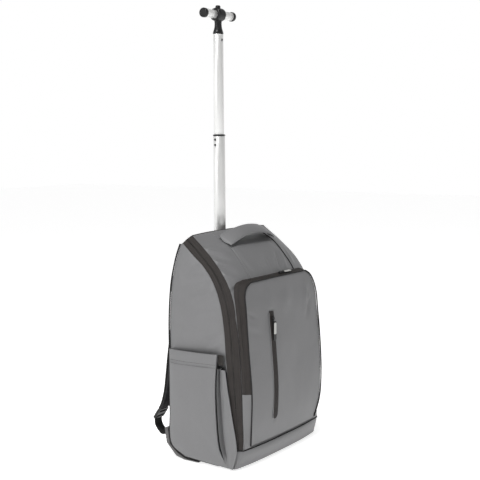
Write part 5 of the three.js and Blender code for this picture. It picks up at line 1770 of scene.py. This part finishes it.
gripHub()
buttonRings = np.array([ovalRing(half, grip["height"] + up, 36) for half, up in button])
lofted("grip_button_cap", buttonRings, "black", "grip_button", ["grip_button"])
r, c = grip["tube"], grip["cap"]
sleeve = [(r - 2, 13.8), (r, 13.8), (r, 30), (r, 48.6), (r - 0.4, 49.0), (r - 2, 49.0)]
plugEnd = [
    (0.05, 49.3), (c - 0.6, 49.3), (c, 49.9), (c, 55.6), (c - 0.5, 57.0), (c - 1.6, 58.0), (c - 2.6, 58.0),
    (c - 3.1, 57.2), (c - 4.5, 57.0), (0.05, 57.2),
]
gripMiddle = (0, poleDepth, grip["height"])
for label, sign in (("left", -1.0), ("right", 1.0)):
    turned(f"grip_tube_{label}_sleeve", sleeve, gripMiddle, (sign, 0, 0),
           "metal", "upper_pole", "pole_metal", [f"grip_tube_{label}"], 56)
    turned(f"grip_cap_{label}_plug", plugEnd, gripMiddle, (sign, 0, 0),
           "black", "upper_pole", "black_plastic", [f"grip_cap_{label}"], 56)
print("grip ready")


# Wheels, guards, axles and feet

hubAndTread = [  # radius, place along the axle
    (9.6, -13.5), (10.6, -13.0), (10.8, -8), (11.2, -7.4), (19.6, -7.4), (20.2, -8), (20.4, -10.4),
    (21.2, -10.9), (26, -10.9), (28.3, -10.2), (29.6, -8.2), (30.0, -5.2), (29.3, -4.8), (29.3, -4.2),
    (30.0, -3.8), (30.0, -0.5), (29.3, -0.3),
]
wheelBore = 4.45
spoke = {"count": 6, "from": 11, "to": 20, "high": 3.0}
guardSkin = {"voxel": 1.1, "rounds": 5}


def spokes(radius, along, angle):
    ribs = np.clip(np.cos(angle * spoke["count"]) * 3 - 1.2, 0, 1)
    return np.sign(along) * spoke["high"] * ribs * (1 if spoke["from"] < radius < spoke["to"] else 0)


def wheelTyre(label, sign):
    profile = [(wheelBore, -wheel["half"]), *hubAndTread, *((r, -a) for r, a in reversed(hubAndTread)),
               (wheelBore, wheel["half"])]
    angle = fullTurn(96)
    loops = np.array([wheelRing(r, 96) for r, _ in profile])
    loops[..., 0] = [sign * wheel["place"] + a + spokes(r, a, angle) for r, a in profile]
    addObject(f"wheel_{label}_tyre", loops, loopedFaces(*loops.shape[:2]), "rubber", f"wheel_{label}",
              [f"wheel_{label}"])


def axlePin(label):
    centre, size = middleOf(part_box(f"axle_{label}"))
    h = size[0] / 2
    profile = [(0.05, -h), (3.6, -h), (4.0, -h + 0.4), (4.0, h - 0.4), (3.6, h), (0.05, h)]
    turned(f"axle_{label}_pin", profile, centre, (1, 0, 0), "steel", "bag", "steel", [f"axle_{label}"], 32)


def footPad(label):
    centre, size = middleOf(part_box(f"front_foot_{label}"))
    h = size[2] / 2
    profile = [(0.05, -h), (6.4, -h), (7.0, -h + 0.5), (7.8, h - 0.3), (7.6, h), (0.05, h)]
    turned(f"front_foot_{label}_pad", profile, centre, (0, 0, 1), "rubber", "bag", "wheel_rubber",
           [f"front_foot_{label}"], 40)


def guardMoulding(label):
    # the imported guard's own shape under one softened skin
    made = bpy.data.objects.new(f"wheel_guard_{label}_moulding", nodes[f"wheel_guard_{label}"].data.copy())
    made.data.materials.clear()
    made.data.materials.append(finishes["moulded"])
    scene.collection.objects.link(made)
    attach(made, "bag")
    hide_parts(f"wheel_guard_{label}")
    softened(made, guardSkin["voxel"], guardSkin["rounds"])


for label, sign in (("left", -1.0), ("right", 1.0)):
    wheelTyre(label, sign)
    axlePin(label)
    footPad(label)
    guardMoulding(label)
nodes["pole_channel"].data.materials.clear()
nodes["pole_channel"].data.materials.append(finishes["metal"])
print("wheels ready")


# Floor

ground = {"half": 9.0, "low": (0.90, 0.90, 0.90), "high": (0.93, 0.93, 0.93), "rough": 0.9, "glow": 0.68}


def makeFloor(values):
    half = values["half"]
    corners = [(-half, -half, 0), (half, -half, 0), (half, half, 0), (-half, half, 0)]
    mesh = bpy.data.meshes.new("floor")
    mesh.from_pydata(corners, [], [(0, 1, 2, 3)])
    finish = Finish("floor", values["low"], values["rough"], emission_strength=values["glow"])
    finish.put("Emission Color", (1, 1, 1, 1))
    finish.put("Base Color", finish.blend(finish.noise(3, 2), values["low"], values["high"]))
    mesh.materials.append(finish.material)
    made = bpy.data.objects.new("floor", mesh)
    scene.collection.objects.link(made)


makeFloor(ground)
print("floor ready")
